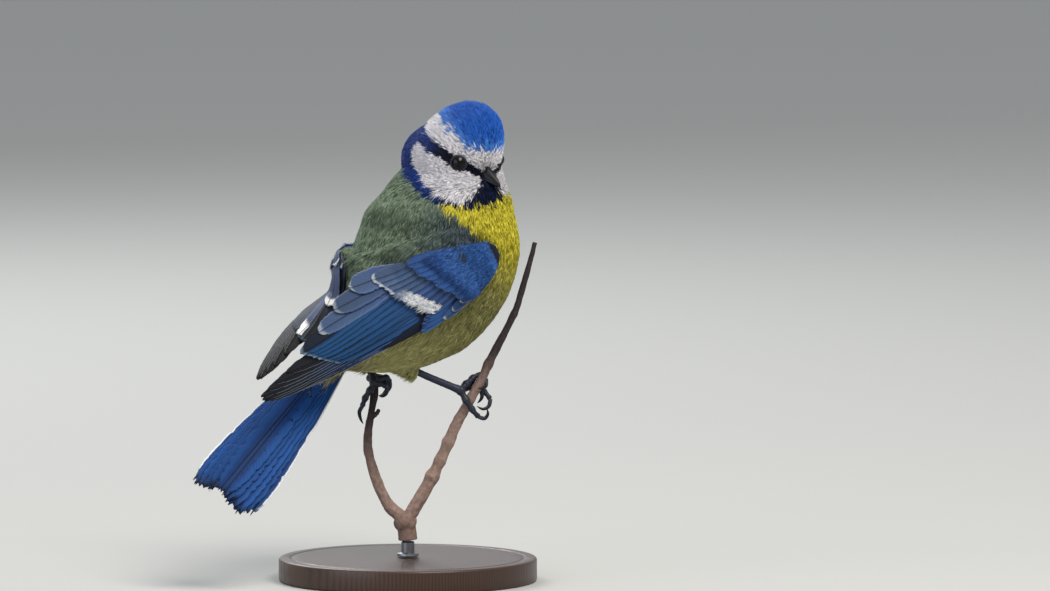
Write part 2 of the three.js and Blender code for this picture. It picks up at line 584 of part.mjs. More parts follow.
// Head, eyes and bill
function buildHead() {
  const skull = headSolid();
  let head = skull;
  const lids = [];
  for (const [name, sign] of [["right", 1], ["left", -1]]) {
    const at = headPoint(EYE_AT.forward, sign * EYE_AT.side, EYE_AT.up);
    add("eye_" + name, ball(at, EYE_RADIUS, 16, 11), COLOURS.eye, 0.08);
    const outward = at.clone().sub(headPoint(0.6, 0, 0)).normalize();
    const ring = new THREE.TorusGeometry(LID.radius, LID.thick, 6, 16);
    const turn = new THREE.Quaternion().setFromUnitVectors(vec(0, 0, 1), outward);
    const seat = at.clone().addScaledVector(outward, LID.out);
    lids.push(solidOf(ring.applyQuaternion(turn).translate(seat.x, seat.y, seat.z)));
    head = head.subtract(ball(at, EYE_RADIUS + GAP, 14, 10));
    lids[lids.length - 1] = lids[lids.length - 1].subtract(ball(at, EYE_RADIUS + GAP, 14, 10));
  }
  head = lids.reduce((joined, lid) => joined.add(lid), head);
  const bill = (upper, grow) => loft(14, 7, (t, angle, reach) => {
    const forward = mix(BILL.base, BILL.tip + grow, t);
    const thin = Math.pow(1 - t, BILL_TAPER) + BILL_BLUNT;
    const tall = (upper ? BILL.up : BILL.down) * thin;
    const up = Math.sin(angle);
    const kept = upper ? Math.max(up, 0) : Math.min(up, 0);
    const split = (upper ? 1 : -1) * (GAP / 2) * (grow ? 0 : 1);
    const mouth = BILL.height - BILL.droop * t * t;
    return headPoint(forward, Math.cos(angle) * reach * (BILL.halfWidth * thin + grow),
      mouth + split + kept * reach * (tall + grow));
  });
  const nostrils = [-1, 1].map((side) =>
    ball(headPoint(NOSTRIL.forward, side * NOSTRIL.side, NOSTRIL.up), NOSTRIL.radius, 8, 6));
  const upper = bill(true, 0).subtract(nostrils[0]).subtract(nostrils[1]);
  const lower = bill(false, 0);
  head = head.subtract(bill(true, GAP).add(bill(false, GAP)));
  add("head", largest(head), COLOURS.white);
  add("bill_upper", upper, COLOURS.bill, 0.3);
  add("bill_lower", lower, COLOURS.bill, 0.3);
}

// Everything above the collar's sloping top edge, as a large block.
function aboveCollar() {
  const facing = vec(Math.cos(HEAD_TURN), Math.sin(HEAD_TURN), 0).multiplyScalar(COLLAR.slope);
  const upright = facing.add(vec(0, 0, 1)).normalize();
  const turn = new THREE.Quaternion().setFromUnitVectors(vec(0, 0, 1), upright);
  const SIZE = 80;
  const block = new THREE.BoxGeometry(SIZE, SIZE, SIZE).translate(0, 0, SIZE / 2).applyQuaternion(turn);
  return solidOf(block.translate(...COLLAR.at));
}

const headGrown = headSolid(GAP);
const torsoWhole = bodySolid(0, NECK_FROM, 15);
const torsoGrown = bodySolid(0, NECK_FROM, 15, GAP);
buildStand();
buildPerch();
buildHead();
const neck = bodySolid(NECK_FROM + NECK_GAP, 1, 5).subtract(headGrown).subtract(aboveCollar());
add("neck", largest(neck), COLOURS.collar);
add("torso", largest(torsoWhole.subtract(headGrown)), COLOURS.back);
buildLegs(torsoGrown);
buildWings(torsoGrown);
buildTail(torsoGrown);

export default root;
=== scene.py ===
"""A life-size model of a blue tit perched across a forked twig on a plain round stand.

The skin, the coat of small feathers, the vanes of the wings and tail, the bill, eyes, legs, twigs and stand
are built here over the solids of the part. Lengths are millimetres until a mesh is made.
"""
import logging
import math
from dataclasses import dataclass, field, replace
from enum import Enum

import bpy
import bmesh
import numpy as np
from mathutils import Matrix, Vector


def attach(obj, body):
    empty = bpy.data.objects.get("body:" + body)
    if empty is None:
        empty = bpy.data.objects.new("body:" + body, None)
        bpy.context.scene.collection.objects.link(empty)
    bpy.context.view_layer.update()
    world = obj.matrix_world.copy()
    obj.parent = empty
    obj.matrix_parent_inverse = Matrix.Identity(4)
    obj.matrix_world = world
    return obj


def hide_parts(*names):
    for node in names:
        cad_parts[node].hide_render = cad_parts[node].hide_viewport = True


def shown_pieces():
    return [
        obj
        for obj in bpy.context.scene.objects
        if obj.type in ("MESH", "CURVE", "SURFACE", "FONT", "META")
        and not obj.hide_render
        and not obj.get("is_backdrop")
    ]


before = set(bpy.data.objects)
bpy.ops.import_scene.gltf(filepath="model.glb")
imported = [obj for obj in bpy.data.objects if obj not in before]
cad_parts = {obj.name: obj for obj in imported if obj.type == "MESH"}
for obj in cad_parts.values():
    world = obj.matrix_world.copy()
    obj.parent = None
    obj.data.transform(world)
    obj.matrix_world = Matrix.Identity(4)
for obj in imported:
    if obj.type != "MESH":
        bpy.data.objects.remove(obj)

MM = 0.001
LOG = logging.getLogger("blue_tit")
Array = np.ndarray


def linear(code: str) -> Array:
    """Turns an sRGB hex colour such as "2f62c8" into linear RGB.

    Args:
        code: Six hex digits.

    Returns:
        Three linear values.
    """
    value = np.array([int(code[i:i + 2], 16) for i in (0, 2, 4)]) / 255
    return np.where(value <= 0.04045, value / 12.92, ((value + 0.055) / 1.055) ** 2.4)


def blend(low: Array, high: Array, share: Array) -> Array:
    """Mixes two values or rows of colours by a share from 0 to 1.

    Args:
        low: Value at share 0.
        high: Value at share 1.
        share: Share, one per row where the values are rows.

    Returns:
        The mixed values.
    """
    share = np.asarray(share, float)
    if share.ndim and (np.shape(low)[-1:] == (3,) or np.shape(high)[-1:] == (3,)):
        share = share[..., None]
    return low + (high - low) * share


def ease(value: Array, start: float, end: float) -> Array:
    """Rises smoothly from 0 at start to 1 at end."""
    t = np.clip((np.asarray(value, float) - start) / (end - start), 0, 1)
    return t * t * (3 - 2 * t)


def unit(rows: Array) -> Array:
    """Rows of vectors scaled to length 1."""
    return rows / np.maximum(np.linalg.norm(rows, axis=-1, keepdims=True), 1e-9)


def through(keys: tuple, t: Array) -> Array:
    """A smooth value through evenly spaced keys.

    Args:
        keys: Values at even shares of the way.
        t: Shares from 0 to 1.

    Returns:
        The value at each share.
    """
    row = np.asarray(keys, float)
    last = len(row) - 1
    x = np.clip(np.asarray(t, float) * last, 0, last - 1e-6)
    i = np.floor(x).astype(int)
    f = x - i
    a, b, c, d = (row[np.clip(i + k, 0, last)] for k in (-1, 0, 1, 2))
    slope = (c - a) * f
    bend = (2 * a - 5 * b + 4 * c - d) * f ** 2
    twist = (3 * b - a - 3 * c + d) * f ** 3
    return 0.5 * (2 * b + slope + bend + twist)


def between(keys: tuple, at: Array) -> Array:
    """Values between pairs of place and value, in straight lines."""
    return np.interp(at, *np.array(keys).T)


def round_angles(sides: int) -> Array:
    """Evenly spaced angles round a circle, in radians."""
    return np.linspace(0, 2 * math.pi, sides, endpoint=False)


def ball_ways(down: Array, angle: Array) -> Array:
    """Unit directions at angles down from the top and round it, in radians."""
    flat = np.sin(down)
    return np.stack(np.broadcast_arrays(flat * np.cos(angle), flat * np.sin(angle), np.cos(down)), -1)


def along_path(path: Array, t: Array) -> Array:
    """Points at shares of a smooth line's length.

    Args:
        path: Rows of points that the line runs through.
        t: Shares from 0 to 1.

    Returns:
        One point per share.
    """
    fine = np.linspace(0, 1, 400)
    line = np.stack([through(tuple(path[:, k]), fine) for k in range(3)], 1)
    run = np.concatenate([[0], np.cumsum(np.linalg.norm(np.diff(line, axis=0), axis=1))])
    return np.stack([np.interp(np.asarray(t) * run[-1], run, line[:, k]) for k in range(3)], 1)


@dataclass
class Faces:
    """Points with their four-sided and three-sided faces, gathered before a mesh is made."""

    points: list = field(default_factory=list)
    quads: list = field(default_factory=list)
    tris: list = field(default_factory=list)
    tints: list = field(default_factory=list)
    barbs: list = field(default_factory=list)
    count: int = 0

    def add(self, points: Array, quads: Array, tris: Array, tint: Array | None = None,
            barb: Array | None = None) -> None:
        """Adds one closed form.

        Args:
            points: Rows of points in millimetres.
            quads: Rows of four point numbers.
            tris: Rows of three point numbers.
            tint: A colour per point, or one for all.
            barb: Place of each point along the barbs of a feather.
        """
        self.points.append(points)
        self.quads.append(np.asarray(quads, int).reshape(-1, 4) + self.count)
        self.tris.append(np.asarray(tris, int).reshape(-1, 3) + self.count)
        shade = np.ones(3) if tint is None else tint
        self.tints.append(np.broadcast_to(shade, (len(points), 3)))
        self.barbs.append(np.zeros(len(points)) if barb is None else barb)
        self.count += len(points)

    def add_rings(self, rings: Array, tint: Array | None = None, barb: Array | None = None) -> None:
        """Adds a tube of rings, closed at both ends by a point in the middle.

        Args:
            rings: Points as [ring, place round it, xyz].
            tint: Colours as [ring, place, rgb], or one colour.
            barb: Barb places as [ring, place].
        """
        n, m = rings.shape[:2]
        points = np.concatenate([rings.reshape(-1, 3), [rings[0].mean(0), rings[-1].mean(0)]])
        a = np.arange(n - 1)[:, None] * m
        j = np.arange(m)[None]
        k = (j + 1) % m
        quads = np.stack([a + j, a + k, a + m + k, a + m + j], -1).reshape(-1, 4)
        j, k = np.arange(m), (np.arange(m) + 1) % m
        first = np.stack([k, j, np.full(m, n * m)], 1)
        last = np.stack([j + (n - 1) * m, k + (n - 1) * m, np.full(m, n * m + 1)], 1)
        if tint is not None and np.ndim(tint) == 3:
            tint = np.concatenate([tint.reshape(-1, 3), [tint[0].mean(0), tint[-1].mean(0)]])
        if barb is not None:
            barb = np.concatenate([barb.reshape(-1), [barb[0].mean(), barb[-1].mean()]])
        self.add(points, quads, np.concatenate([first, last]), tint, barb)

    def piece(self, name: str, bake: Array | None = None, smooth: bool = True) -> bpy.types.Object:
        """Makes the mesh object, with its faces outwards.

        Args:
            name: Name of the object.
            bake: A place on the skin's unwrap per point, for a piece of the coat.
            smooth: Whether the faces are shaded smooth.

        Returns:
            The object, at the origin.
        """
        points = np.concatenate(self.points)
        quads, tris = np.concatenate(self.quads), np.concatenate(self.tris)
        halves = np.concatenate([quads[:, [0, 1, 2]], quads[:, [0, 2, 3]], tris])
        a, b, c = (points[halves[:, i]] for i in range(3))
        if np.einsum("ij,ij->", a, np.cross(b, c)) < 0:
            quads, tris = quads[:, ::-1], tris[:, ::-1]
        mesh = bpy.data.meshes.new(name)
        mesh.vertices.add(len(points))
        mesh.vertices.foreach_set("co", (points * MM).astype(np.float32).ravel())
        corners = np.concatenate([quads.ravel(), tris.ravel()]).astype(np.int32)
        starts = np.concatenate([np.arange(len(quads)) * 4, len(quads) * 4 + np.arange(len(tris)) * 3])
        mesh.loops.add(len(corners))
        mesh.loops.foreach_set("vertex_index", corners)
        mesh.polygons.add(len(starts))
        mesh.polygons.foreach_set("loop_start", starts.astype(np.int32))
        mesh.update(calc_edges=True)
        mesh.polygons.foreach_set("use_smooth", np.full(len(starts), smooth))
        tint = np.concatenate([np.clip(np.concatenate(self.tints), 0, 1), np.ones((len(points), 1))], 1)
        colours = mesh.attributes.new("tint", "FLOAT_COLOR", "POINT").data
        colours.foreach_set("color", tint.astype(np.float32).ravel())
        barb = np.concatenate(self.barbs).astype(np.float32)
        mesh.attributes.new("barb", "FLOAT", "POINT").data.foreach_set("value", barb)
        if bake is not None:
            mesh.uv_layers.new(name="OFBake").data.foreach_set("uv", bake[corners].astype(np.float32).ravel())
        mesh.validate()
        piece = bpy.data.objects.new(name, mesh)
        bpy.context.collection.objects.link(piece)
        return piece


def alone(piece: bpy.types.Object) -> None:
    """Selects one object and nothing else."""
    bpy.ops.object.select_all(action="DESELECT")
    piece.select_set(True)
    bpy.context.view_layer.objects.active = piece


def modified(piece: bpy.types.Object, kind: str, **settings: object) -> None:
    """Adds a modifier to a piece and applies it.

    Args:
        piece: The object.
        kind: Kind of modifier.
        **settings: Its settings.
    """
    alone(piece)
    step = piece.modifiers.new(kind.lower(), kind)
    for key, value in settings.items():
        setattr(step, key, value)
    bpy.ops.object.modifier_apply(modifier=step.name)


def melted(piece: bpy.types.Object, voxel: float, factor: float, iterations: int) -> None:
    """Closes crossing forms into one smooth surface.

    Args:
        piece: The object.
        voxel: Size of the grid that the surface is made on, in millimetres.
        factor: How far each smoothing step goes.
        iterations: Number of smoothing steps.
    """
    modified(piece, "REMESH", mode="VOXEL", voxel_size=voxel * MM)
    modified(piece, "SMOOTH", factor=factor, iterations=iterations)


def tinted(piece: bpy.types.Object, tint: Array) -> None:
    """Gives every point of a finished mesh its colour.

    Args:
        piece: The object.
        tint: Linear colours, one row per point or one for all.
    """
    mesh = piece.data
    for old in ("tint", "barb"):
        if old in mesh.attributes:
            mesh.attributes.remove(mesh.attributes[old])
    rows = np.ones((len(mesh.vertices), 4), np.float32)
    rows[:, :3] = np.clip(tint, 0, 1)
    mesh.attributes.new("tint", "FLOAT_COLOR", "POINT").data.foreach_set("color", rows.ravel())


def points_of(piece: bpy.types.Object) -> Array:
    """The points of a mesh in millimetres."""
    rows = np.empty(len(piece.data.vertices) * 3, np.float32)
    piece.data.vertices.foreach_get("co", rows)
    return rows.reshape(-1, 3).astype(float) / MM


# Materials


def node(tree: bpy.types.NodeTree, kind: str, links: dict | None = None,
         **settings: object) -> bpy.types.Node:
    """Adds a node, sets it and links it.

    Args:
        tree: The material's nodes.
        kind: Kind of node.
        links: What each input takes, by name or number: an output to link or a value to set.
        **settings: The node's own settings.

    Returns:
        The node.
    """
    made = tree.nodes.new(kind)
    for key, value in settings.items():
        setattr(made, key, value)
    for key, value in (links or {}).items():
        if isinstance(value, bpy.types.NodeSocket):
            tree.links.new(value, made.inputs[key])
        else:
            made.inputs[key].default_value = value
    return made


class Grain(Enum):
    """What a finish's fine pattern follows."""

    BARBS = "barbs"
    SPOTS = "spots"
    RINGS = "rings"
    BRUSHED = "brushed"


@dataclass(frozen=True)
class Finish:
    """A surface in the mesh's tint, or in two tones of its own, broken up by a fine pattern."""

    name: str
    grain: Grain
    pitch: float
    contrast: float
    roughness: float
    bump: float
    sheen: float = 0.0
    specular: float = 0.4
    metallic: float = 0.0
    coat: float = 0.0
    colour: str = ""
    second: str = ""

    def pattern(self, tree: bpy.types.NodeTree) -> bpy.types.NodeSocket:
        """The fine pattern, from 0 to 1.

        Args:
            tree: The material's nodes.

        Returns:
            The socket that carries it.
        """
        per_metre = 1 / (self.pitch * MM)
        if self.grain is Grain.BARBS:
            place = node(tree, "ShaderNodeAttribute", attribute_name="barb").outputs["Fac"]
            links = {"W": place, "Scale": 1 / self.pitch, "Detail": 2.0, "Roughness": 0.6}
            return node(tree, "ShaderNodeTexNoise", links, noise_dimensions="1D").outputs["Fac"]
        place = node(tree, "ShaderNodeTexCoord").outputs["Object"]
        if self.grain is Grain.RINGS:
            wide = node(tree, "ShaderNodeMapping", {"Vector": place, "Scale": (1, 0.12, 1)}).outputs[0]
            links = {"Vector": wide, "Scale": per_metre, "Distortion": 2.2, "Detail": 3.0,
                     "Detail Scale": 0.8}
            return node(tree, "ShaderNodeTexWave", links, bands_direction="X").outputs["Fac"]
        if self.grain is Grain.BRUSHED:
            place = node(tree, "ShaderNodeMapping", {"Vector": place, "Scale": (1, 1, 12)}).outputs[0]
        links = {"Vector": place, "Scale": per_metre, "Detail": 4.0, "Roughness": 0.62}
        return node(tree, "ShaderNodeTexNoise", links).outputs["Fac"]

    def material(self) -> bpy.types.Material:
        """Builds the material, once.

        Returns:
            The material.
        """
        if self.name in bpy.data.materials:
            return bpy.data.materials[self.name]
        made = bpy.data.materials.new(self.name)
        made.use_nodes = True
        tree = made.node_tree
        shader = tree.nodes["Principled BSDF"]
        pattern = self.pattern(tree)
        depth = node(tree, "ShaderNodeMapRange", {
            "Value": pattern, "From Min": 0.25, "From Max": 0.75, "To Min": 1 - self.contrast, "To Max": 1.0})
        if self.colour:
            ends = {0: pattern, 6: (*linear(self.colour), 1), 7: (*linear(self.second), 1)}
            tone = node(tree, "ShaderNodeMix", ends, data_type="RGBA").outputs[2]
        else:
            tone = node(tree, "ShaderNodeAttribute", attribute_name="tint").outputs["Color"]
        shade = node(tree, "ShaderNodeMix", {0: 1.0, 6: tone, 7: depth.outputs[0]}, data_type="RGBA",
                     blend_type="MULTIPLY")
        tree.links.new(shade.outputs[2], shader.inputs["Base Color"])
        rough = node(tree, "ShaderNodeMapRange", {
            "Value": pattern, "To Min": self.roughness + 0.07, "To Max": self.roughness - 0.07})
        tree.links.new(rough.outputs[0], shader.inputs["Roughness"])
        relief = node(tree, "ShaderNodeBump", {
            "Height": pattern, "Distance": self.bump * MM, "Strength": 0.8})
        tree.links.new(relief.outputs[0], shader.inputs["Normal"])
        shader.inputs["Sheen Weight"].default_value = self.sheen
        shader.inputs["Sheen Roughness"].default_value = 0.45
        shader.inputs["Specular IOR Level"].default_value = self.specular
        shader.inputs["Metallic"].default_value = self.metallic
        shader.inputs["Coat Weight"].default_value = self.coat
        shader.inputs["Coat Roughness"].default_value = 0.12
        return made

    def dress(self, piece: bpy.types.Object) -> None:
        """Makes this the piece's only material."""
        piece.data.materials.clear()
        piece.data.materials.append(self.material())


# Down and contour feathers are dull keratin: soft, almost without gloss
DOWN = Finish("contour_feather_keratin", Grain.SPOTS, 0.5, 0.22, 0.78, 0.02, sheen=0.04, specular=0.12)
# Bare skin under the feathers, dull and a little mottled, seen only between them
SKIN = Finish("feathered_skin", Grain.SPOTS, 0.6, 0.3, 0.85, 0.05, sheen=0.05, specular=0.15)
# Flight feathers are closed vanes of parallel barbs, 0.42 mm apart here so that they show, and nearly dull
VANE = Finish("flight_feather_keratin", Grain.BARBS, 0.42, 0.34, 0.56, 0.05, sheen=0.03, specular=0.16)
# Bill and claws are polished horn: dark, smooth, with soft highlights
HORN = Finish("polished_horn", Grain.SPOTS, 0.7, 0.25, 0.36, 0.015, specular=0.2)
# The eyes are glass, painted dark brown from behind, so they shine like wet ones
GLASS = Finish("painted_glass_eye", Grain.SPOTS, 1.2, 0.1, 0.08, 0.0, specular=0.22)
# Legs have small horny scales, half dull, with creases between them
SCALES = Finish("scaly_leg_skin", Grain.SPOTS, 0.55, 0.45, 0.5, 0.09, specular=0.4)
# Twig bark is dry and uneven, with no gloss
BARK = Finish("dry_twig_bark", Grain.SPOTS, 0.9, 0.5, 0.82, 0.16, specular=0.2)
# The foot of the stand is turned walnut, stained dark and rubbed with wax: low gloss over streaks of grain
WALNUT = Finish("waxed_walnut", Grain.RINGS, 2.4, 0.3, 0.42, 0.03, specular=0.4, coat=0.15,
                colour="4a3022", second="2a1a12")
# The rod is brushed steel: grey metal with fine lines round it
STEEL = Finish("brushed_steel", Grain.BRUSHED, 0.5, 0.15, 0.36, 0.01, metallic=1.0,
               colour="8b8e93", second="6d7076")
# The floor is matt painted board, even and pale
FLOOR = Finish("matt_painted_board", Grain.SPOTS, 6.0, 0.03, 0.9, 0.0, specular=0.1,
               colour="b4b5b3", second="b0b1af")


# The bird's form


@dataclass(frozen=True)
class Body:
    """Oval slices up one curved line, from the vent to the top of the neck."""

    x: tuple = (-22, -17.5, -10, -2, 4.5, 8.3, 10.5, 12.2)
    z: tuple = (55.5, 58.5, 63.5, 69.5, 76.8, 84.4, 91.5, 98.5)
    lean: tuple = (35, 36, 42, 50, 60, 70, 80, 88)
    front: tuple = (2, 10, 17.6, 21.8, 22.8, 21.4, 17.2, 13)
    back: tuple = (1.5, 5.5, 10, 14.5, 17.2, 17.4, 15, 12)
    side: tuple = (2, 8.5, 14.5, 18.4, 19.8, 19.4, 16.2, 12.6)

    def place(self, points: Array) -> tuple[Array, Array, Array]:
        """Where points are against the body's line.

        Args:
            points: Rows of points.

        Returns:
            The share along the line, the angle round it in degrees (0 the breast, 90 the left side), and the
            distance out as a share of the body's radius.
        """
        low, high = np.zeros(len(points)), np.ones(len(points))
        for _ in range(16):
            t = (low + high) / 2
            lean = np.radians(through(self.lean, t))
            across = points[:, 0] - through(self.x, t)
            rise = points[:, 2] - through(self.z, t)
            above = across * np.cos(lean) + rise * np.sin(lean) > 0
            low, high = np.where(above, t, low), np.where(above, high, t)
        lean = np.radians(through(self.lean, low))
        across = points[:, 0] - through(self.x, low)
        rise = points[:, 2] - through(self.z, low)
        ahead = across * np.sin(lean) - rise * np.cos(lean)
        deep = np.where(ahead > 0, through(self.front, low), through(self.back, low))
        share = np.hypot(ahead / deep, points[:, 1] / through(self.side, low))
        share = np.where(low < 1e-4, 2, share)
        return low, np.degrees(np.arctan2(points[:, 1], ahead)), share

    def surface(self, t: Array, angle: Array, grow: float) -> Array:
        """Points of the surface.

        Args:
            t: Shares along the line.
            angle: Angles round it in radians.
            grow: How far outside the surface.

        Returns:
            The points.
        """
        lean = np.radians(through(self.lean, t))
        deep = np.where(np.cos(angle) > 0, through(self.front, t), through(self.back, t)) + grow
        side = through(self.side, t) + grow
        out = np.maximum(deep, 0.3) * np.cos(angle)
        return np.stack([through(self.x, t) + np.sin(lean) * out, np.maximum(side, 0.3) * np.sin(angle),
                         through(self.z, t) - np.cos(lean) * out], -1)

    def tailwards(self, t: Array) -> Array:
        """The direction down the body's line, towards the tail."""
        lean = np.radians(through(self.lean, t))
        return np.stack([-np.cos(lean), np.zeros_like(lean), -np.sin(lean)], -1)


@dataclass(frozen=True)
class Head:
    """The head in its own frame of forward, right and up, with its swellings and hollows."""

    at: tuple = (12.9, -2.5, 101.9)
    turn: float = -74.0
    nod: float = 20.0
    front: float = 10.6
    back: float = 12.0
    side: float = 11.3
    tall: float = 13.4
    forms: tuple = (
        ((0.5, 0, 0.86), 1.2, 36), ((-0.8, 0, 0.6), -2.8, 36), ((-0.85, 0, -0.45), 2.6, 36),
        ((0.3, 0.75, -0.55), 2, 34), ((0.3, -0.75, -0.55), 2.4, 34), ((0.98, 0, -0.1), -1.1, 16),
        ((0.62, 0.75, 0.1), -0.9, 22), ((0.62, -0.75, 0.1), -0.9, 22),
    )

    def axes(self) -> Array:
        """Rows of the forward, right and up directions."""
        turn, nod = math.radians(self.turn), math.radians(self.nod)
        forward = np.array([math.cos(turn) * math.cos(nod), math.sin(turn) * math.cos(nod), -math.sin(nod)])
        right = np.array([math.sin(turn), -math.cos(turn), 0])
        return np.stack([forward, right, np.cross(right, forward)])

    def point(self, local: Array) -> Array:
        """Points of the model from rows of forward, right and up."""
        return np.asarray(self.at) + np.asarray(local, float) @ self.axes()

    def reach(self, ways: Array) -> Array:
        """How far the surface is from the centre.

        Args:
            ways: Unit directions in the head's frame.

        Returns:
            The distance in each direction.
        """
        long = np.where(ways[..., 0] > 0, self.front, self.back)
        size = np.stack([long, np.full_like(long, self.side), np.full_like(long, self.tall)], -1)
        reach = 1 / np.linalg.norm(ways / size, axis=-1)
        for toward, out, wide in self.forms:
            cosine = np.clip(ways @ unit(np.array(toward, float)), -1, 1)
            reach = reach + out * np.exp(-(np.degrees(np.arccos(cosine)) / wide) ** 2)
        return reach

    def place(self, points: Array) -> tuple[Array, Array, Array, Array]:
        """Where points are against the head.

        Args:
            points: Rows of points.

        Returns:
            The distance as a share of the head's reach, the angle from forwards to the right and the angle
            upwards in degrees, and the distance in millimetres.
        """
        local = (points - np.asarray(self.at)) @ self.axes().T
        away = np.linalg.norm(local, axis=1)
        ways = unit(local)
        share = away / self.reach(ways)
        turn = np.degrees(np.arctan2(ways[:, 1], ways[:, 0]))
        return share, turn, np.degrees(np.arcsin(np.clip(ways[:, 2], -1, 1))), away


BODY = Body()
HEAD = Head()
EYE_AT = (5.9, 6.5, 1.0)
EYE_RADIUS = 2.1


@dataclass(frozen=True)
class Wing:
    """One folded wing as a curved sheet: p along it from the wrist, q across it towards the back."""

    side: str
    sign: int
    tip: tuple
    facing: tuple
    spread: tuple
    wrist_x: float = 12.6
    wrist_z: float = 77.7
    length: float = 67.0
    twist: float = 46.0
    bulge: float = 6.0
    round: float = 21.0
    edge_low: tuple = ((-1.5, .4), (0, -1.8), (3, -3.8), (9.8, -6), (18.5, -6.2), (32.5, -5.6), (42.8, -3.6),
                       (56, -1))
    edge_high: tuple = ((-1.5, 2.4), (0, 4.2), (6, 6.4), (13.5, 8), (20, 10.4), (26.8, 12), (34, 9.4),
                        (44, 5.4), (56, .6))
    skin_gap: float = 1.3
    body_radius: float = 18.0

    def wrist(self) -> Array:
        """The point at the wrist."""
        return np.array([self.wrist_x, self.sign * 18.0, self.wrist_z])

    def along(self) -> Array:
        """The direction from the wrist to the tip."""
        return unit(np.array(self.tip, float) - self.wrist())

    def axes(self, p: Array) -> tuple[Array, Array]:
        """The outward and backward directions at a distance along the wing.

        Args:
            p: Distances along the wing.

        Returns:
            Rows of outward directions and rows of directions towards the back.
        """
        along = self.along()
        first, last = (np.array(way, float) for way in self.facing)
        out = blend(first, last, np.clip(p / self.twist, 0, 1))
        out = unit(out - (out @ along)[..., None] * along)
        return out, -self.sign * np.cross(along, out)

    def sheet(self, p: Array, across: Array, lift: Array) -> Array:
        """Points on the folded wing.

        Args:
            p: Distances along the wing.
            across: Distances across it.
            lift: Distances above its middle.

        Returns:
            The points.
        """
        p, across, lift = np.broadcast_arrays(*(np.asarray(v, float) for v in (p, across, lift)))
        shape = p.shape
        p, across, lift = p.ravel(), across.ravel(), lift.ravel()
        u = p / self.length
        q = across * np.where(across > 0, self.widening(np.minimum(u, 1)), 1)
        out, dorsal = self.axes(p)
        bulge = self.bulge * 4 * u * (1 - u) * (1 - 0.25 * u)
        fall = (q - 1) ** 2 / (2 * self.round * (1 + 0.6 * u))
        spine = self.wrist() + p[:, None] * self.along()
        points = spine + q[:, None] * dorsal + (bulge - fall)[:, None] * out
        clear = 1 + self.skin_gap / self.body_radius
        low, high = np.zeros(len(p)), np.full(len(p), 9.0)
        inside = BODY.place(points)[2] < clear
        for _ in range(8):
            middle = (low + high) / 2
            deep = BODY.place(points + middle[:, None] * out)[2] < clear
            low, high = np.where(deep, middle, low), np.where(deep, high, middle)
        push = np.where(inside, high, 0)
        return (points + (push + lift)[:, None] * out).reshape(*shape, 3)

    def where(self, points: Array) -> tuple[Array, Array]:
        """The p and q of points near the wing.

        Args:
            points: Rows of points.

        Returns:
            Distances along and across the wing.
        """
        offset = points - self.wrist()
        p = offset @ self.along()
        q = np.einsum("ij,ij->i", offset, self.axes(p)[1])
        return p, np.where(q > 0, q / self.widening(np.clip(p / self.length, 0, 1)), q)

    def widening(self, share: Array) -> Array:
        """How far the part above the middle is spread, at shares of the wing's length."""
        return self.spread[0] + (self.spread[1] - self.spread[0]) * share

    def edges(self, p: Array) -> tuple[Array, Array]:
        """The lower and upper edge of the wing at a distance along it."""
        return between(self.edge_low, p), between(self.edge_high, p)


WINGS = (
    Wing("right", -1, (-44.6, -3, 45.2), ((-.33, -.92, .2), (-.33, -.9, .3)), (1, 1)),
    Wing("left", 1, (-43.8, -3.2, 49.6), ((-.33, .9, .25), (-.75, -.35, .56)), (.05, 1.47)),
)


@dataclass(frozen=True)
class TailPlace:
    """The tail's fan as a sheet: p from its root to its end and q across it."""

    root: tuple = (-17.5, 0.2, 58.2)
    tip: tuple = (-50.8, 0.9, 24.2)
    roll: float = -44.0

    def axes(self) -> tuple[Array, Array, Array]:
        """The directions along, to the left and up from the fan."""
        along = unit(np.array(self.tip) - np.array(self.root))
        turn = Matrix.Rotation(math.radians(self.roll), 3, Vector(along))
        left = np.array(turn @ Vector((0, 1, 0)))
        left = unit(left - (left @ along) * along)
        up = -np.cross(left, along)
        return along, left, up if up[2] > 0 else -up

    def sheet(self, p: Array, q: Array, lift: Array) -> Array:
        """Points on the fan."""
        along, left, up = self.axes()
        p, q, lift = (np.asarray(v, float)[..., None] for v in np.broadcast_arrays(p, q, lift))
        return np.array(self.root) + along * p + left * q + up * (lift - q * q * 0.012)


TAIL = TailPlace()


# Markings


def inside(places: Array, outline: tuple) -> Array:
    """Whether flat places lie inside a closed outline.

    Args:
        places: Rows of two values.
        outline: The outline's corners.

    Returns:
        True or false for each place.
    """
    corners = np.array(outline, float)
    held = np.zeros(len(places), bool)
    for (x0, y0), (x1, y1) in zip(corners, np.roll(corners, -1, 0)):
        crosses = (y0 > places[:, 1]) != (y1 > places[:, 1])
        at = x0 + (places[:, 1] - y0) / (y1 - y0 if y1 != y0 else 1e-9) * (x1 - x0)
        held ^= crosses & (places[:, 0] < at)
    return held


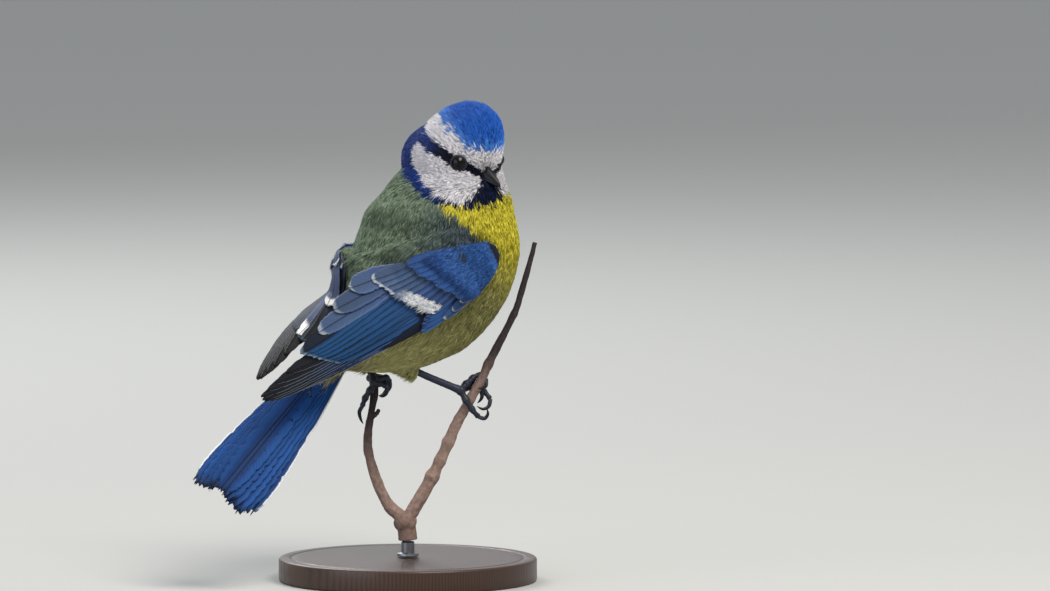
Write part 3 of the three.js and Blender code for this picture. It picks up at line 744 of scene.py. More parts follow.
@dataclass(frozen=True)
class Markings:
    """The colours of the small feathers, by their place on the head and body."""

    cap: str = "2463c5"
    cap_pale: str = "5490df"
    white: str = "e9e7ec"
    ink: str = "0b1026"
    collar: str = "183a86"
    mantle: str = "7b8d76"
    mantle_low: str = "48565f"
    rump: str = "839060"
    breast: str = "dbd042"
    flank: str = "9c9a60"
    belly: str = "c4c182"
    vent: str = "b3ae84"
    tail_cover: str = "45688a"
    # Height of each border in degrees, against the angle from the bill
    cap_edge: tuple = ((0, 29), (17, 30), (39, 30), (65, 40), (120, 54), (150, 52), (180, 50))
    brow_edge: tuple = ((0, -4), (12, -1), (16, 2), (27, 9), (42, 14), (60, 16), (79, 22),
                        (119, 26), (150, 33), (180, 36))
    stripe_edge: tuple = ((0, -8), (15, -7), (25, -4), (38, -2), (55, -1), (72, 5), (91, 8),
                          (110, 9), (130, 6))
    # The cheek's outline and the collar's lower edge, against how far down the head and neck they are
    cheek: tuple = ((15, 8), (25, 4), (38, 2), (55, 1), (72, -5), (91, -8), (110, -9), (122, -6), (128, -1),
                    (122, 12), (115, 19), (100, 27), (86, 36), (75, 47), (66, 56), (55, 65), (47, 68),
                    (40, 66), (32, 56), (25, 39), (20, 22))
    collar_edge: tuple = ((-180, 45), (-104, 49), (-60, 44), (-30, 46), (-1, 52), (23, 67), (42, 74),
                          (56, 76), (75, 66), (104, 49), (130, 45), (180, 45))
    # Angle from the breast at which the green of the back starts, against the share up the body
    back_edge: tuple = ((0, 118), (0.3, 112), (0.6, 92), (0.67, 86), (0.685, 97), (0.716, 110), (0.758, 121),
                        (0.8, 130))
    back_edge_left: tuple = ((0, 118), (0.3, 112), (0.6, 92), (0.7, 84), (0.8, 80), (1, 78))

    def at(self, points: Array, loose: float, seed: int) -> Array:
        """The colour at each point.

        Args:
            points: Rows of points on or just over the skin.
            loose: How ragged the borders are.
            seed: Seed of their raggedness.

        Returns:
            Rows of linear colours.
        """
        rng = np.random.default_rng(seed)
        t, angle, _ = BODY.place(points)
        _, turn, up, away = HEAD.place(points)
        turn = turn + rng.normal(0, 1.6 * loose, len(points))
        up = up + rng.normal(0, 0.8 * loose, len(points))
        down = -up + np.maximum(0, away - 12) * 6 + rng.normal(0, 1.2 * loose, len(points))
        wide = np.abs(turn)
        left = angle > 0
        angle = np.abs(angle + rng.normal(0, 2.2 * loose, len(points)))

        front = blend(linear(self.belly), linear(self.flank), ease(t, 0.2, 0.5))
        front = blend(front, linear(self.breast), ease(t, 0.5, 0.72))
        front = blend(linear(self.vent), front, ease(t, 0.02, 0.2))
        front = blend(front, linear(self.flank), 0.5 * ease(angle, 55, 85) * ease(t, 0.75, 0.5))
        on_top = np.maximum(ease(angle, 100, 150), ease(t, 0.45, 0.62) * left)
        back = blend(linear(self.mantle_low), linear(self.mantle), on_top)
        back = blend(linear(self.rump), back, ease(t, 0.12, 0.35))
        edge = np.where(left, between(self.back_edge_left, t), between(self.back_edge, t))
        tint = np.where((angle < edge)[:, None], front, back)
        covers = (t < 0.02) & (points[:, 0] < -19)
        tint = np.where((covers & (angle > 60))[:, None], linear(self.tail_cover), tint)

        on_head = (down < between(self.collar_edge, turn)) & (away < 26) & (t > 0.55)
        head = blend(linear(self.collar), linear(self.ink), ease(wide, 80, 40) * 0.9)
        # The head is turned towards the right wing, so the left cheek is bunched up against the collar
        far = turn < 0
        spots = np.stack([np.where(far, wide + 12, wide), np.where(far, down * 0.97, down)], 1)
        cheek = inside(spots, self.cheek)
        head = np.where(cheek[:, None], linear(self.white), head)
        cap_edge = between(self.cap_edge, wide) + rng.normal(0, 3.0 * loose, len(points))
        brow = between(self.brow_edge, wide)
        stripe = between(self.stripe_edge, wide)
        pale = (up > brow) & (up <= cap_edge)
        head = np.where(pale[:, None], linear(self.white), head)
        stripe_tint = blend(linear(self.ink), linear(self.collar), ease(wide, 70, 115))
        head = np.where(((up > stripe) & (up <= brow) & (wide < 130))[:, None], stripe_tint, head)
        cap = blend(linear(self.cap_pale), linear(self.cap), ease(up - cap_edge, 0, 16))
        head = np.where((up > cap_edge)[:, None], cap, head)
        return np.where(on_head[:, None], head, tint)


MARKINGS = Markings()


# Skin and coat


@dataclass
class Skin:
    """One seamless skin under the small feathers, from the head to the root of the tail."""

    body_depth: float = 0.95
    head_depth: float = 0.7
    nape_swell: float = 1.8
    voxel: float = 0.46
    thighs: tuple = (
        ((-6.5, -4.6, 55.2), (-2.2, -4.5, 52.8), (2.4, -4, 50.6)),
        ((-12, 3.6, 56), (-10.4, 2.7, 53), (-9.2, 1.4, 50.6)),
    )
    thigh_radii: tuple = (3.1, 1.35)
    # Round the shoulder pad: how far past the wing's upper edge, and how high
    pad: tuple = ((-2.6, 0.4), (-0.6, 1.1), (1.4, 0.8), (3.4, -0.2), (5.4, -1.6), (5.4, -6), (-2.6, -6))
    pad_base: float = -5.0
    pad_sunk: float = 2.2
    # Share of the markings' brightness that the skin is painted with: painted shade in the gaps between the
    # tufts
    skin_painted_shade: float = 0.6

    def build(self) -> bpy.types.Object:
        """Joins the body, head, thighs and shoulder pads and closes them into one surface.

        Returns:
            The skin.
        """
        form = Faces()
        t = np.linspace(0, 1, 60)[:, None]
        angle = round_angles(72)[None]
        form.add_rings(BODY.surface(*np.broadcast_arrays(t, angle), -self.body_depth))
        ways = ball_ways(np.linspace(0.02, math.pi - 0.02, 40)[:, None], angle)
        behind = np.degrees(np.arccos(np.clip(ways @ unit(np.array([-0.97, 0, -0.24])), -1, 1)))
        fluff = self.nape_swell * np.exp(-(behind / 48) ** 2) - self.head_depth
        form.add_rings(HEAD.point(ways * (HEAD.reach(ways) + fluff)[..., None]))
        for path in self.thighs:
            form.add_rings(tube_rings(in_fork(np.array(path, float)), self.thigh_radii, 16, 16))
        form.add_rings(self.rump())
        for wing in WINGS:
            form.add_rings(self.shoulder(wing))
        skin = form.piece("skin")
        melted(skin, self.voxel, 0.5, 9)
        # The skin is painted in the markings' colours, darkened as painted shade between the tufts
        tinted(skin, MARKINGS.at(points_of(skin), 0, 1) * self.skin_painted_shade)
        alone(skin)
        bpy.ops.object.shade_smooth()
        SKIN.dress(skin)
        return skin

    def rump(self) -> Array:
        """Rings of the soft cone over the root of the tail."""
        t = np.linspace(0, 1, 14)[:, None]
        angle = round_angles(32)[None]
        wide, deep = 5.2 - 1.9 * t, 2.2 - 1.5 * t
        return TAIL.sheet(-4 + 18 * t + 0 * angle, np.cos(angle) * wide, np.sin(angle) * deep)

    def shoulder(self, wing: Wing) -> Array:
        """Rings of the pad that lets the feathers of the back lie over the wing's upper edge.

        Args:
            wing: The wing.

        Returns:
            The rings, from the shoulder towards the tail.
        """
        p = np.linspace(1, 27, 26)
        high = wing.edges(p)[1]
        fade = ease(p, 1, 7) * (ease(p, 27, 15) if wing.side == "right" else 0.62 * ease(p, 27, 20))
        ring = []
        for across, lift in self.pad:
            height = lift * fade - self.pad_sunk * (1 - fade) if lift > self.pad_base else lift
            ring.append(wing.sheet(p, high + across, height))
        return np.stack(ring, 1)


TWIG_TURN = math.radians(-32)


def in_fork(rows: Array) -> Array:
    """Points of the model from rows of sideways, depth and height against the plane of the twig's fork."""
    c, s = math.cos(TWIG_TURN), math.sin(TWIG_TURN)
    return np.stack([rows[:, 0] * c - rows[:, 1] * s, rows[:, 0] * s + rows[:, 1] * c, rows[:, 2]], 1)


def tube_rings(path: Array, radii: tuple, sides: int, steps: int, knobs: Array | None = None) -> Array:
    """Rings of a round tube along a smooth line.

    Args:
        path: Rows of points that the line runs through.
        radii: Radius at the start and at the end.
        sides: Points in a ring.
        steps: Rings.
        knobs: A factor on the radius of each ring.

    Returns:
        Points as [ring, place round it, xyz].
    """
    t = np.linspace(0, 1, steps)
    line = along_path(path, t)
    ahead = unit(np.gradient(line, axis=0))
    side = np.empty_like(ahead)
    held = np.cross(ahead[0], [0.3, 0.9, 0.2])
    for i, way in enumerate(ahead):
        held = unit(held - (held @ way) * way)
        side[i] = held
    other = np.cross(ahead, side)
    radius = radii[0] + (radii[1] - radii[0]) * t
    radius = radius * (1 if knobs is None else knobs)
    angle = round_angles(sides)
    ring = np.cos(angle)[None, :, None] * side[:, None] + np.sin(angle)[None, :, None] * other[:, None]
    return line[:, None] + ring * radius[:, None, None]


@dataclass
class Roots:
    """Where tufts grow, which way they lie and how they are sized."""

    at: Array
    out: Array
    way: Array
    length: Array
    width: Array
    rise: Array
    curve: Array
    tint: Array
    spread: Array
    unwrap: Array

    def some(self, chosen: Array) -> "Roots":
        """The chosen tufts alone."""
        return Roots(*(getattr(self, key)[chosen] for key in self.__dataclass_fields__))

    def along_with(self, other: "Roots") -> "Roots":
        """These tufts and some others."""
        pairs = ((getattr(self, key), getattr(other, key)) for key in self.__dataclass_fields__)
        return Roots(*(np.concatenate(pair) for pair in pairs))


@dataclass
class Coat:
    """The small feathers: tufts of slender blades that overlap towards the tail."""

    blades: int = 7
    per_piece: int = 2650
    seed: int = 11
    patch: float = 0.003
    jitter: float = 0.22
    spread: float = 8.0
    # A tuft's width, and what each millimetre of its length adds
    widths: tuple = (0.075, 0.027)
    # Lengths of the tufts: the shortest, and how much longer they get
    head_lengths: tuple = (1.1, 1.7)
    body_lengths: tuple = (4.3, 1.2)
    # How far a tuft's middle stands off, and the radius that it bends down on
    body_rise: float = 0.9
    head_rise: float = 0.6
    body_curve: float = 18.0
    head_curve: float = 11.5
    flat_curve: float = 9.0
    # Where the wings hide the skin: from and to along them, and how far inside their lower and upper edges
    hidden_along: tuple = (2.5, 42)
    hidden_inside: tuple = (2.2, 3.2)
    eye_bare: float = 0.45
    bill_bare: float = 1.35

    def roots(self, skin: bpy.types.Object) -> Roots:
        """Scatters tufts over the skin, densest and smallest on the face.

        Args:
            skin: The skin.

        Returns:
            The tufts' roots.
        """
        rng = np.random.default_rng(self.seed)
        mesh = skin.data
        count = len(mesh.polygons)
        centre, normal = np.empty(count * 3, np.float32), np.empty(count * 3, np.float32)
        area = np.empty(count, np.float32)
        mesh.polygons.foreach_get("center", centre)
        mesh.polygons.foreach_get("normal", normal)
        mesh.polygons.foreach_get("area", area)
        centre, normal = centre.reshape(-1, 3).astype(float) / MM, normal.reshape(-1, 3).astype(float)
        area = area.astype(float) / MM ** 2
        t, angle, _ = BODY.place(centre)
        near, turn, up, _ = HEAD.place(centre)
        length = self.lengths(centre, t, angle, near)
        density = np.clip(11.5 / length ** 1.15, 1.6, 6.0)
        density = np.where(self.hidden(centre, near), 0, density)
        wanted = density * area
        number = np.floor(wanted + rng.random(count)).astype(int)
        pick = np.repeat(np.arange(count), number)
        jitter = rng.normal(0, self.jitter, (len(pick), 3))
        out = normal[pick]
        jitter -= np.einsum("ij,ij->i", jitter, out)[:, None] * out
        at = centre[pick] + jitter
        t, angle, near, turn, up = t[pick], angle[pick], near[pick], turn[pick], up[pick]
        size = length[pick] * rng.uniform(0.85, 1.15, len(pick))
        way = self.lie(at, out, t, near)
        on_head = ease(near, 1.3, 1.05)
        rise = blend(self.body_rise, self.head_rise, on_head) * rng.uniform(0.9, 1.12, len(pick))
        crown = on_head * ease(up, 30, 55)
        rise, size = rise * (1 + 0.5 * crown), size * (1 + 0.2 * crown)
        # Feathers of the thighs, round the root of the tail and over the far wing's upper edge lie flat
        flat = np.maximum(self.round_thighs(at), ease(t, 0.12, 0.02))
        p, q = WINGS[1].where(at)
        over_wing = (q > WINGS[1].edges(p)[1] - 3.4) & (at[:, 1] > 3) & (near > 1.2)
        flat = np.maximum(flat, over_wing * ease(p, 3, 8) * ease(p, 34, 28))
        size = size * (1 - 0.25 * over_wing * ease(p, 3, 8))
        rise = rise * (1 - 0.4 * flat)
        curve = blend(blend(self.body_curve, self.head_curve, on_head), self.flat_curve, flat)
        tint = self.tints(at + way * size[:, None] * 0.75, rng)
        body_place = np.stack([0.02 + 0.6 * (angle / 360 + 0.5), 0.02 + 0.96 * t], 1)
        head_place = np.stack([0.66 + 0.32 * (turn / 360 + 0.5), 0.02 + 0.96 * (up / 180 + 0.5)], 1)
        unwrap = np.where((near < 1.12)[:, None], head_place, body_place)
        width = self.widths[0] + self.widths[1] * size
        return Roots(at, out, way, size, width, rise, curve, tint, np.full(len(pick), self.spread), unwrap)

    def lengths(self, points: Array, t: Array, angle: Array, near: Array) -> Array:
        """How long the tufts are.

        Args:
            points: Rows of points on the skin.
            t: Shares up the body.
            angle: Angles round the body.
            near: Distances as shares of the head's reach.

        Returns:
            A length for each point.
        """
        bill = np.linalg.norm(points - HEAD.point((10.0, 0, -1.0)), axis=1)
        rims = [HEAD.point((EYE_AT[0], side * 7.5, EYE_AT[2])) for side in (-1, 1)]
        eyes = np.minimum(*(np.linalg.norm(points - rim, axis=1) for rim in rims))
        head = self.head_lengths[0] + self.head_lengths[1] * ease(bill, 2, 17)
        head = head * (0.55 + 0.45 * ease(eyes, 2, 6))
        longer = self.body_lengths[1] * ease(t, 0.55, 0.25) * ease(np.abs(angle), 100, 40)
        body = (self.body_lengths[0] + longer) * (1 - 0.5 * self.round_thighs(points))
        body = body * (1 - 0.45 * ease(t, 0.14, 0.02))
        return blend(body, head, ease(near, 1.32, 1.02))

    def round_thighs(self, points: Array) -> Array:
        """How near points of the skin are to the thighs, from 0 to 1."""
        return ease(points[:, 2], 58.5, 54) * ease(points[:, 0], -15, -9)

    def hidden(self, points: Array, near: Array) -> Array:
        """Whether points of the skin lie under a wing, an eye or the bill."""
        covered = np.zeros(len(points), bool)
        for wing in WINGS:
            p, q = wing.where(points)
            low, high = wing.edges(p)
            facing = points[:, 1] * wing.sign > -2
            along = (p > self.hidden_along[0]) & (p < self.hidden_along[1])
            across = (q > low + self.hidden_inside[0]) & (q < high - self.hidden_inside[1])
            covered |= along & across & facing & (near > 1.15)
        for side in (-1, 1):
            eye = HEAD.point((EYE_AT[0], side * EYE_AT[1], EYE_AT[2]))
            covered |= np.linalg.norm(points - eye, axis=1) < EYE_RADIUS + self.eye_bare
        covered |= np.linalg.norm(points - HEAD.point((10.2, 0, -1.5)), axis=1) < self.bill_bare
        return covered

    def lie(self, points: Array, out: Array, t: Array, near: Array) -> Array:
        """The way feathers lie at each point.

        Args:
            points: Rows of points on the skin.
            out: Rows of outward directions.
            t: Shares up the body.
            near: Distances as shares of the head's reach.

        Returns:
            Rows of unit directions along the skin.
        """
        forward, _, up = HEAD.axes()
        local = (points - np.asarray(HEAD.at)) @ HEAD.axes().T
        cheek = ease(local[:, 2], 6, -4)[:, None]
        from_bill = unit(points - HEAD.point((9.5, 0, -1.2)))
        head = unit(-forward * 0.8 + from_bill * 0.9) - up * 0.35 * cheek
        body = BODY.tailwards(t)
        body = body + np.array([0, 0, -0.28]) * ease(points[:, 2], 75, 60)[:, None]
        onto_tail = ease(t, 0.03, 0.0)[:, None]
        body = body * (1 - onto_tail) + TAIL.axes()[0] * onto_tail
        way = blend(body, head, ease(near, 1.45, 1.05))
        leg = (points[:, 2] < 56.5) & (t > 0.02)
        way = np.where(leg[:, None], way + np.array([0, 0, -0.5]), way)
        return unit(way - np.einsum("ij,ij->i", way, out)[:, None] * out)

    def tints(self, points: Array, rng: np.random.Generator) -> Array:
        """A colour for each tuft, a little uneven from tuft to tuft."""
        tint = MARKINGS.at(points, 1.0, self.seed + 1)
        return tint * rng.normal(1, 0.045, (len(points), 1))

    def grow(self, name: str, roots: Roots, seed: int) -> bpy.types.Object:
        """Makes one piece of the coat.

        Args:
            name: Name of the piece.
            roots: The tufts.
            seed: Seed of their unevenness.

        Returns:
            The piece.
        """
        rng = np.random.default_rng(seed)
        n, b = len(roots.at), self.blades
        grown = roots.some(np.repeat(np.arange(n), b))
        m = n * b
        yaw = np.radians(rng.normal(0, 1, m) * grown.spread)[:, None]
        side = np.cross(grown.way, grown.out)
        way = grown.way * np.cos(yaw) + side * np.sin(yaw)
        side = np.cross(way, grown.out)
        long = (grown.length * rng.uniform(0.72, 1.12, m))[:, None]
        wide = (grown.width * rng.uniform(0.75, 1.25, m))[:, None]
        rise = (grown.rise * rng.uniform(0.75, 1.15, m))[:, None]
        curve = grown.curve[:, None]
        strewn = 0.09 * long * rng.normal(0, 1, (m, 2, 1)).transpose(1, 0, 2)
        base = grown.at + side * strewn[0] + way * strewn[1] - grown.out * 0.15
        middle = base + way * long * 0.5 + grown.out * (rise * 0.75 - long ** 2 / (8 * curve))
        tip = base + way * long + grown.out * (rise - long ** 2 / (2 * curve))
        ridge = grown.out * wide * 0.45
        points = np.stack([
            base - side * wide * 0.3, base + side * wide * 0.3, base + ridge * 0.6,
            middle - side * wide * 0.5, middle + side * wide * 0.5, middle + ridge, tip], 1)
        first = np.arange(m)[:, None, None] * 7
        quads = first + np.array([[[0, 1, 4, 3], [1, 2, 5, 4], [2, 0, 3, 5]]])
        tris = first + np.array([[[2, 1, 0], [3, 4, 6], [4, 5, 6], [5, 3, 6]]])
        # White feathers are even; coloured ones are streaked with dark and pale barbs
        uneven = 0.17 - 0.11 * ease(grown.tint.mean(1), 0.25, 0.6)[:, None]
        dark = 1 - 2.6 * uneven * (rng.random((m, 1)) < 0.2)
        shade = np.clip(rng.normal(1.04, uneven, (m, 1)), 0.5, 1.6) * dark
        tint = grown.tint * shade
        # Each blade is painted darker towards its root, as painted shade where the feathers overlap, and a
        # little lighter at its tip
        root_shade_ramp = np.array([0.45, 0.45, 0.45, 0.9, 0.9, 0.95, 1.08])
        tints = tint[:, None] * root_shade_ramp[None, :, None]
        spot = np.array([[-.3, -.5], [.3, -.5], [0, -.5], [-.5, 0], [.5, 0], [0, 0], [0, .5]]) * self.patch
        bake = (grown.unwrap[:, None] + spot[None]).reshape(-1, 2)
        form = Faces()
        form.add(points.reshape(-1, 3), quads.reshape(-1, 4), tris.reshape(-1, 3), tints.reshape(-1, 3))
        piece = form.piece(name, bake)
        DOWN.dress(piece)
        return piece

    def build(self, skin: bpy.types.Object) -> list[bpy.types.Object]:
        """Covers the skin, in pieces named by region.

        Args:
            skin: The skin.

        Returns:
            The pieces.
        """
        roots = self.roots(skin)
        t, angle, _ = BODY.place(roots.at)
        near, turn, up, _ = HEAD.place(roots.at)
        regions = {
            "coat_crown": (near < 1.1) & (up > 18),
            "coat_face": (near < 1.1) & (up <= 18) & (np.abs(turn) < 80),
            "coat_nape": (near < 1.1) & (up <= 18) & (np.abs(turn) >= 80),
            "coat_back": (near >= 1.1) & (np.abs(angle) > 98),
            "coat_breast": (near >= 1.1) & (np.abs(angle) <= 98) & (t > 0.5),
            "coat_belly": (near >= 1.1) & (np.abs(angle) <= 98) & (t <= 0.5),
        }
        pieces = []
        for i, (name, chosen) in enumerate(regions.items()):
            held = np.flatnonzero(chosen)
            held = held[np.argsort(roots.at[held, 1])]
            parts = max(1, math.ceil(len(held) / self.per_piece))
            for j, block in enumerate(np.array_split(held, parts)):
                label = name if parts == 1 else f"{name}_{j + 1}"
                pieces.append(self.grow(label, roots.some(block), self.seed + 10 * i + j))
        return pieces


# Wings and tail


@dataclass(frozen=True)
class Vane:
    """The colours of one kind of feather: its vane, both edges, its end and its shaft."""

    base: str
    low_edge: str
    high_edge: str
    end: str
    shaft: str
    low_wide: float = 0.3
    high_wide: float = 0.2
    end_from: float = 0.9
    foot: str = ""

    def tint(self, t: Array, x: Array) -> Array:
        """The colour at shares along and across the feather.

        Args:
            t: Shares from the root to the tip.
            x: Places from -1 at the lower edge to 1 at the upper edge.

        Returns:
            Linear colours.
        """
        base = linear(self.base)
        tone = blend(linear(self.foot or self.base), base, ease(t, 0.25, 0.8))
        low = ease(x, -1 + self.low_wide * 1.4, -1 + self.low_wide * 0.6)
        high = ease(x, 1 - self.high_wide * 1.4, 1 - self.high_wide * 0.6)
        tone = blend(tone, linear(self.low_edge), low)
        tone = blend(tone, linear(self.high_edge), high)
        curved = t + 0.25 * (1 - self.end_from) * (x * x - 0.4)
        tone = blend(tone, linear(self.end), ease(curved, self.end_from - 0.012, self.end_from + 0.03))
        return blend(tone, linear(self.shaft), 0.85 * ease(np.abs(x), 0.075, 0.03))


PRIMARY = Vane("14161d", "8d9bac", "1a1c24", "14161d", "0b0c10", 0.1, 0.06, 0.985, foot="1f4277")
SECONDARY = Vane("0e1727", "154471", "121924", "7b91a4", "080c14", 0.62, 0.1, 0.972, foot="1c4275")
TERTIAL = Vane("3a4d6c", "445c81", "697584", "8a939e", "192232", 0.3, 0.1, 0.94, foot="324672")
# The far wing's tertials: the near ones' vane and edges painted darker as painted shade, with broader, paler
# ends
TERTIAL_FAR_SHADED = Vane("2a3a5a", "34496f", "4d5a70", "dadad9", "192232", 0.3, 0.1, 0.84, foot="324672")
PRIMARY_COVERT = Vane("244277", "2e568f", "1f2833", "222a38", "0d131e", 0.5, 0.1, 0.97)
GREATER_COVERT = Vane("324672", "39598e", "29364e", "d6d7d8", "17213a", 0.5, 0.12, 0.925)
INNER_COVERT = Vane("3a4d6c", "425c83", "4b596e", "9fa8b1", "1a253b", 0.4, 0.12, 0.9)
THUMB = Vane("26406d", "a3aba7", "21314d", "949d9d", "10182b", 0.1, 0.1, 0.95)
MEDIAN_COVERT = Vane("274c86", "2f5796", "233c67", "324c77", "15284e", 0.4, 0.15, 0.9)
TAIL_FEATHER = Vane("10376e", "18498a", "0a1730", "0f2444", "060d1a", 0.5, 0.16, 0.97, foot="133f7e")
TAIL_OUTER = Vane("11376c", "dfe2e6", "0c1a32", "445975", "060d1a", 0.22, 0.16, 0.97)


@dataclass(frozen=True)
class Tier:
    """A row of feathers: the first and last feather's root and tip, and how the ones between differ."""

    count: int
    roots: tuple
    tips: tuple
    arch: float
    widths: tuple
    lifts: tuple
    look: Vane
    shaft: float = 0.0
    blunt: float = 0.35


TIERS = {
    "primaries": Tier(9, ((19, -5), (24, -.5)), ((57.5, -2.7), (57, 2)), 8.3, (2.9, 3.7), (0, .7),
                      PRIMARY, -.45, .2),
    "secondaries": Tier(7, ((21, -2.6), (23, 6.5)), ((46.5, -1.9), (52, 4.2)), 0, (3.6, 4.6), (.6, 1.4),
                        SECONDARY, -.35, .45),
    "tertials": Tier(3, ((21, 7.2), (22, 9.6)), ((46, 6), (34, 11.4)), 0, (5.2, 5.8), (1.4, 2.0),
                     TERTIAL, -.1, .5),
    "primary_coverts": Tier(6, ((11, -5), (13, -3)), ((25, -6), (21.5, -3.2)), 0, (2, 2.3), (.8, 1.3),
                            PRIMARY_COVERT, -.4, .3),
    "greater_coverts": Tier(10, ((12, -2), (18, 8.8)), ((20.4, -3.4), (28.6, 10.4)), .9, (2.6, 3.3),
                            (1.4, 2.1), GREATER_COVERT, -.25, .55),
    "thumb_feathers": Tier(3, ((5.5, -4), (6, -3)), ((18.2, -6), (13, -4.9)), 0, (2.2, 2.5), (1.4, 1.9),
                           THUMB, -.3, .4),
    "median_coverts": Tier(9, ((6.5, -2.2), (11, 7.4)), ((13.2, -3.3), (20, 9)), .6, (2.7, 3.2), (2.0, 2.5),
                           MEDIAN_COVERT, -.1, .6),
}


@dataclass(frozen=True)
class WearAndShade:
    """How worn a feather is: the splits of its edges and how ragged its end is; and how dark it is, which is
    its own tone or, on the far wing's long feathers, painted shade.
    """

    fray: float = 0.1
    ragged: float = 0.15
    # A factor on the feather's colour: its own uneven tone, or painted shade on the far wing's long feathers
    tone: float = 1.0


@dataclass
class FeatherMaker:
    """Lays single feathers on a curved sheet, as closed thin vanes with a raised shaft."""

    thick: float = 0.34
    sink: float = 0.7
    tilt: float = -0.24
    steps: int = 34
    across: tuple = (-1, -.86, -.62, -.34, -.09, -.035, .035, .09, .34, .62, .86, 1)

    def lay(self, form: Faces, sheet: object, root: Array, tip: Array, width: float, lift: float, look: Vane,
            shaft: float, blunt: float, rng: np.random.Generator, wear: WearAndShade = WearAndShade()) -> None:
        """Adds one feather to a form.

        Args:
            form: Takes the faces.
            sheet: Gives points from places along, across and above it.
            root: Place of the root along and across the sheet.
            tip: Place of the tip.
            width: Width of the vane.
            lift: How far the vane lies above the sheet.
            look: Its colours.
            shaft: Place of the shaft from -1 at the lower edge to 1 at the upper.
            blunt: How broad its end is.
            rng: Source of its unevenness.
            wear: How worn it is, and how dark, which on the far wing's long feathers is painted shade.
        """
        root, tip = np.asarray(root, float), np.asarray(tip, float)
        long = np.linalg.norm(tip - root)
        ahead = (tip - root) / long
        t = np.concatenate([np.linspace(0, 0.7, self.steps // 2, endpoint=False),
                            np.linspace(0.7, 1, self.steps - self.steps // 2)])
        end = np.maximum(0, t - 0.72) / 0.28
        outline = np.sqrt(1 - end ** 2 * (1 - blunt ** 2)) * (0.55 + 0.45 * np.minimum(1, t / 0.4))
        x = np.array(self.across)
        top = self.thick * (0.35 + 0.65 * (1 - np.abs(x) ** 1.6))
        top = top + np.where(np.abs(x) < 0.05, 0.13, 0)
        x_all = np.concatenate([x, x[::-1]])
        z_all = np.concatenate([top / 2, -top[::-1] / 2])
        splits = 1 - wear.fray * (rng.random((len(t), 2)) ** 3) * (t[:, None] > 0.3)
        splits[-3:] *= 1 - wear.fray * 1.5 * rng.random((3, 2))
        ragged = rng.normal(0, wear.ragged, len(x))
        ragged = np.concatenate([ragged, ragged[::-1]])[None] * ease(t, 0.86, 1.0)[:, None]
        grid_t = t[:, None] + 0 * x_all[None]
        grid_x = np.where(x_all[None] < 0, x_all[None] * splits[:, :1], x_all[None] * splits[:, 1:])
        middle = shaft * (1 - np.abs(x_all)) * (1 - 0.5 * end[:, None])
        off = (grid_x + middle) * (width / 2) * outline[:, None]
        barb_back = 0.35 * (width / 2) * (1 - np.abs(x_all[None]) ** 2) * np.minimum(end[:, None] * 2, 1)
        p = grid_t * long + barb_back * 0.6 - barb_back.max() * 0.3 * end[:, None] + ragged
        place_p = root[0] + ahead[0] * p - ahead[1] * off
        place_q = root[1] + ahead[1] * p + ahead[0] * off
        up = lift - self.sink * (1 - grid_t) + self.tilt * off / width * 1.0 + z_all[None]
        points = sheet(place_p, place_q, up)
        # The tone factor darkens the whole feather: its own tone, or painted shade on the far wing's
        # primaries and secondaries
        tint = look.tint(grid_t, np.broadcast_to(x_all, grid_t.shape)) * rng.normal(1, 0.05) * wear.tone
        barb = grid_t * long - np.abs(off - middle * width / 2) * 1.3 + rng.random() * 100
        form.add_rings(points, tint, barb)


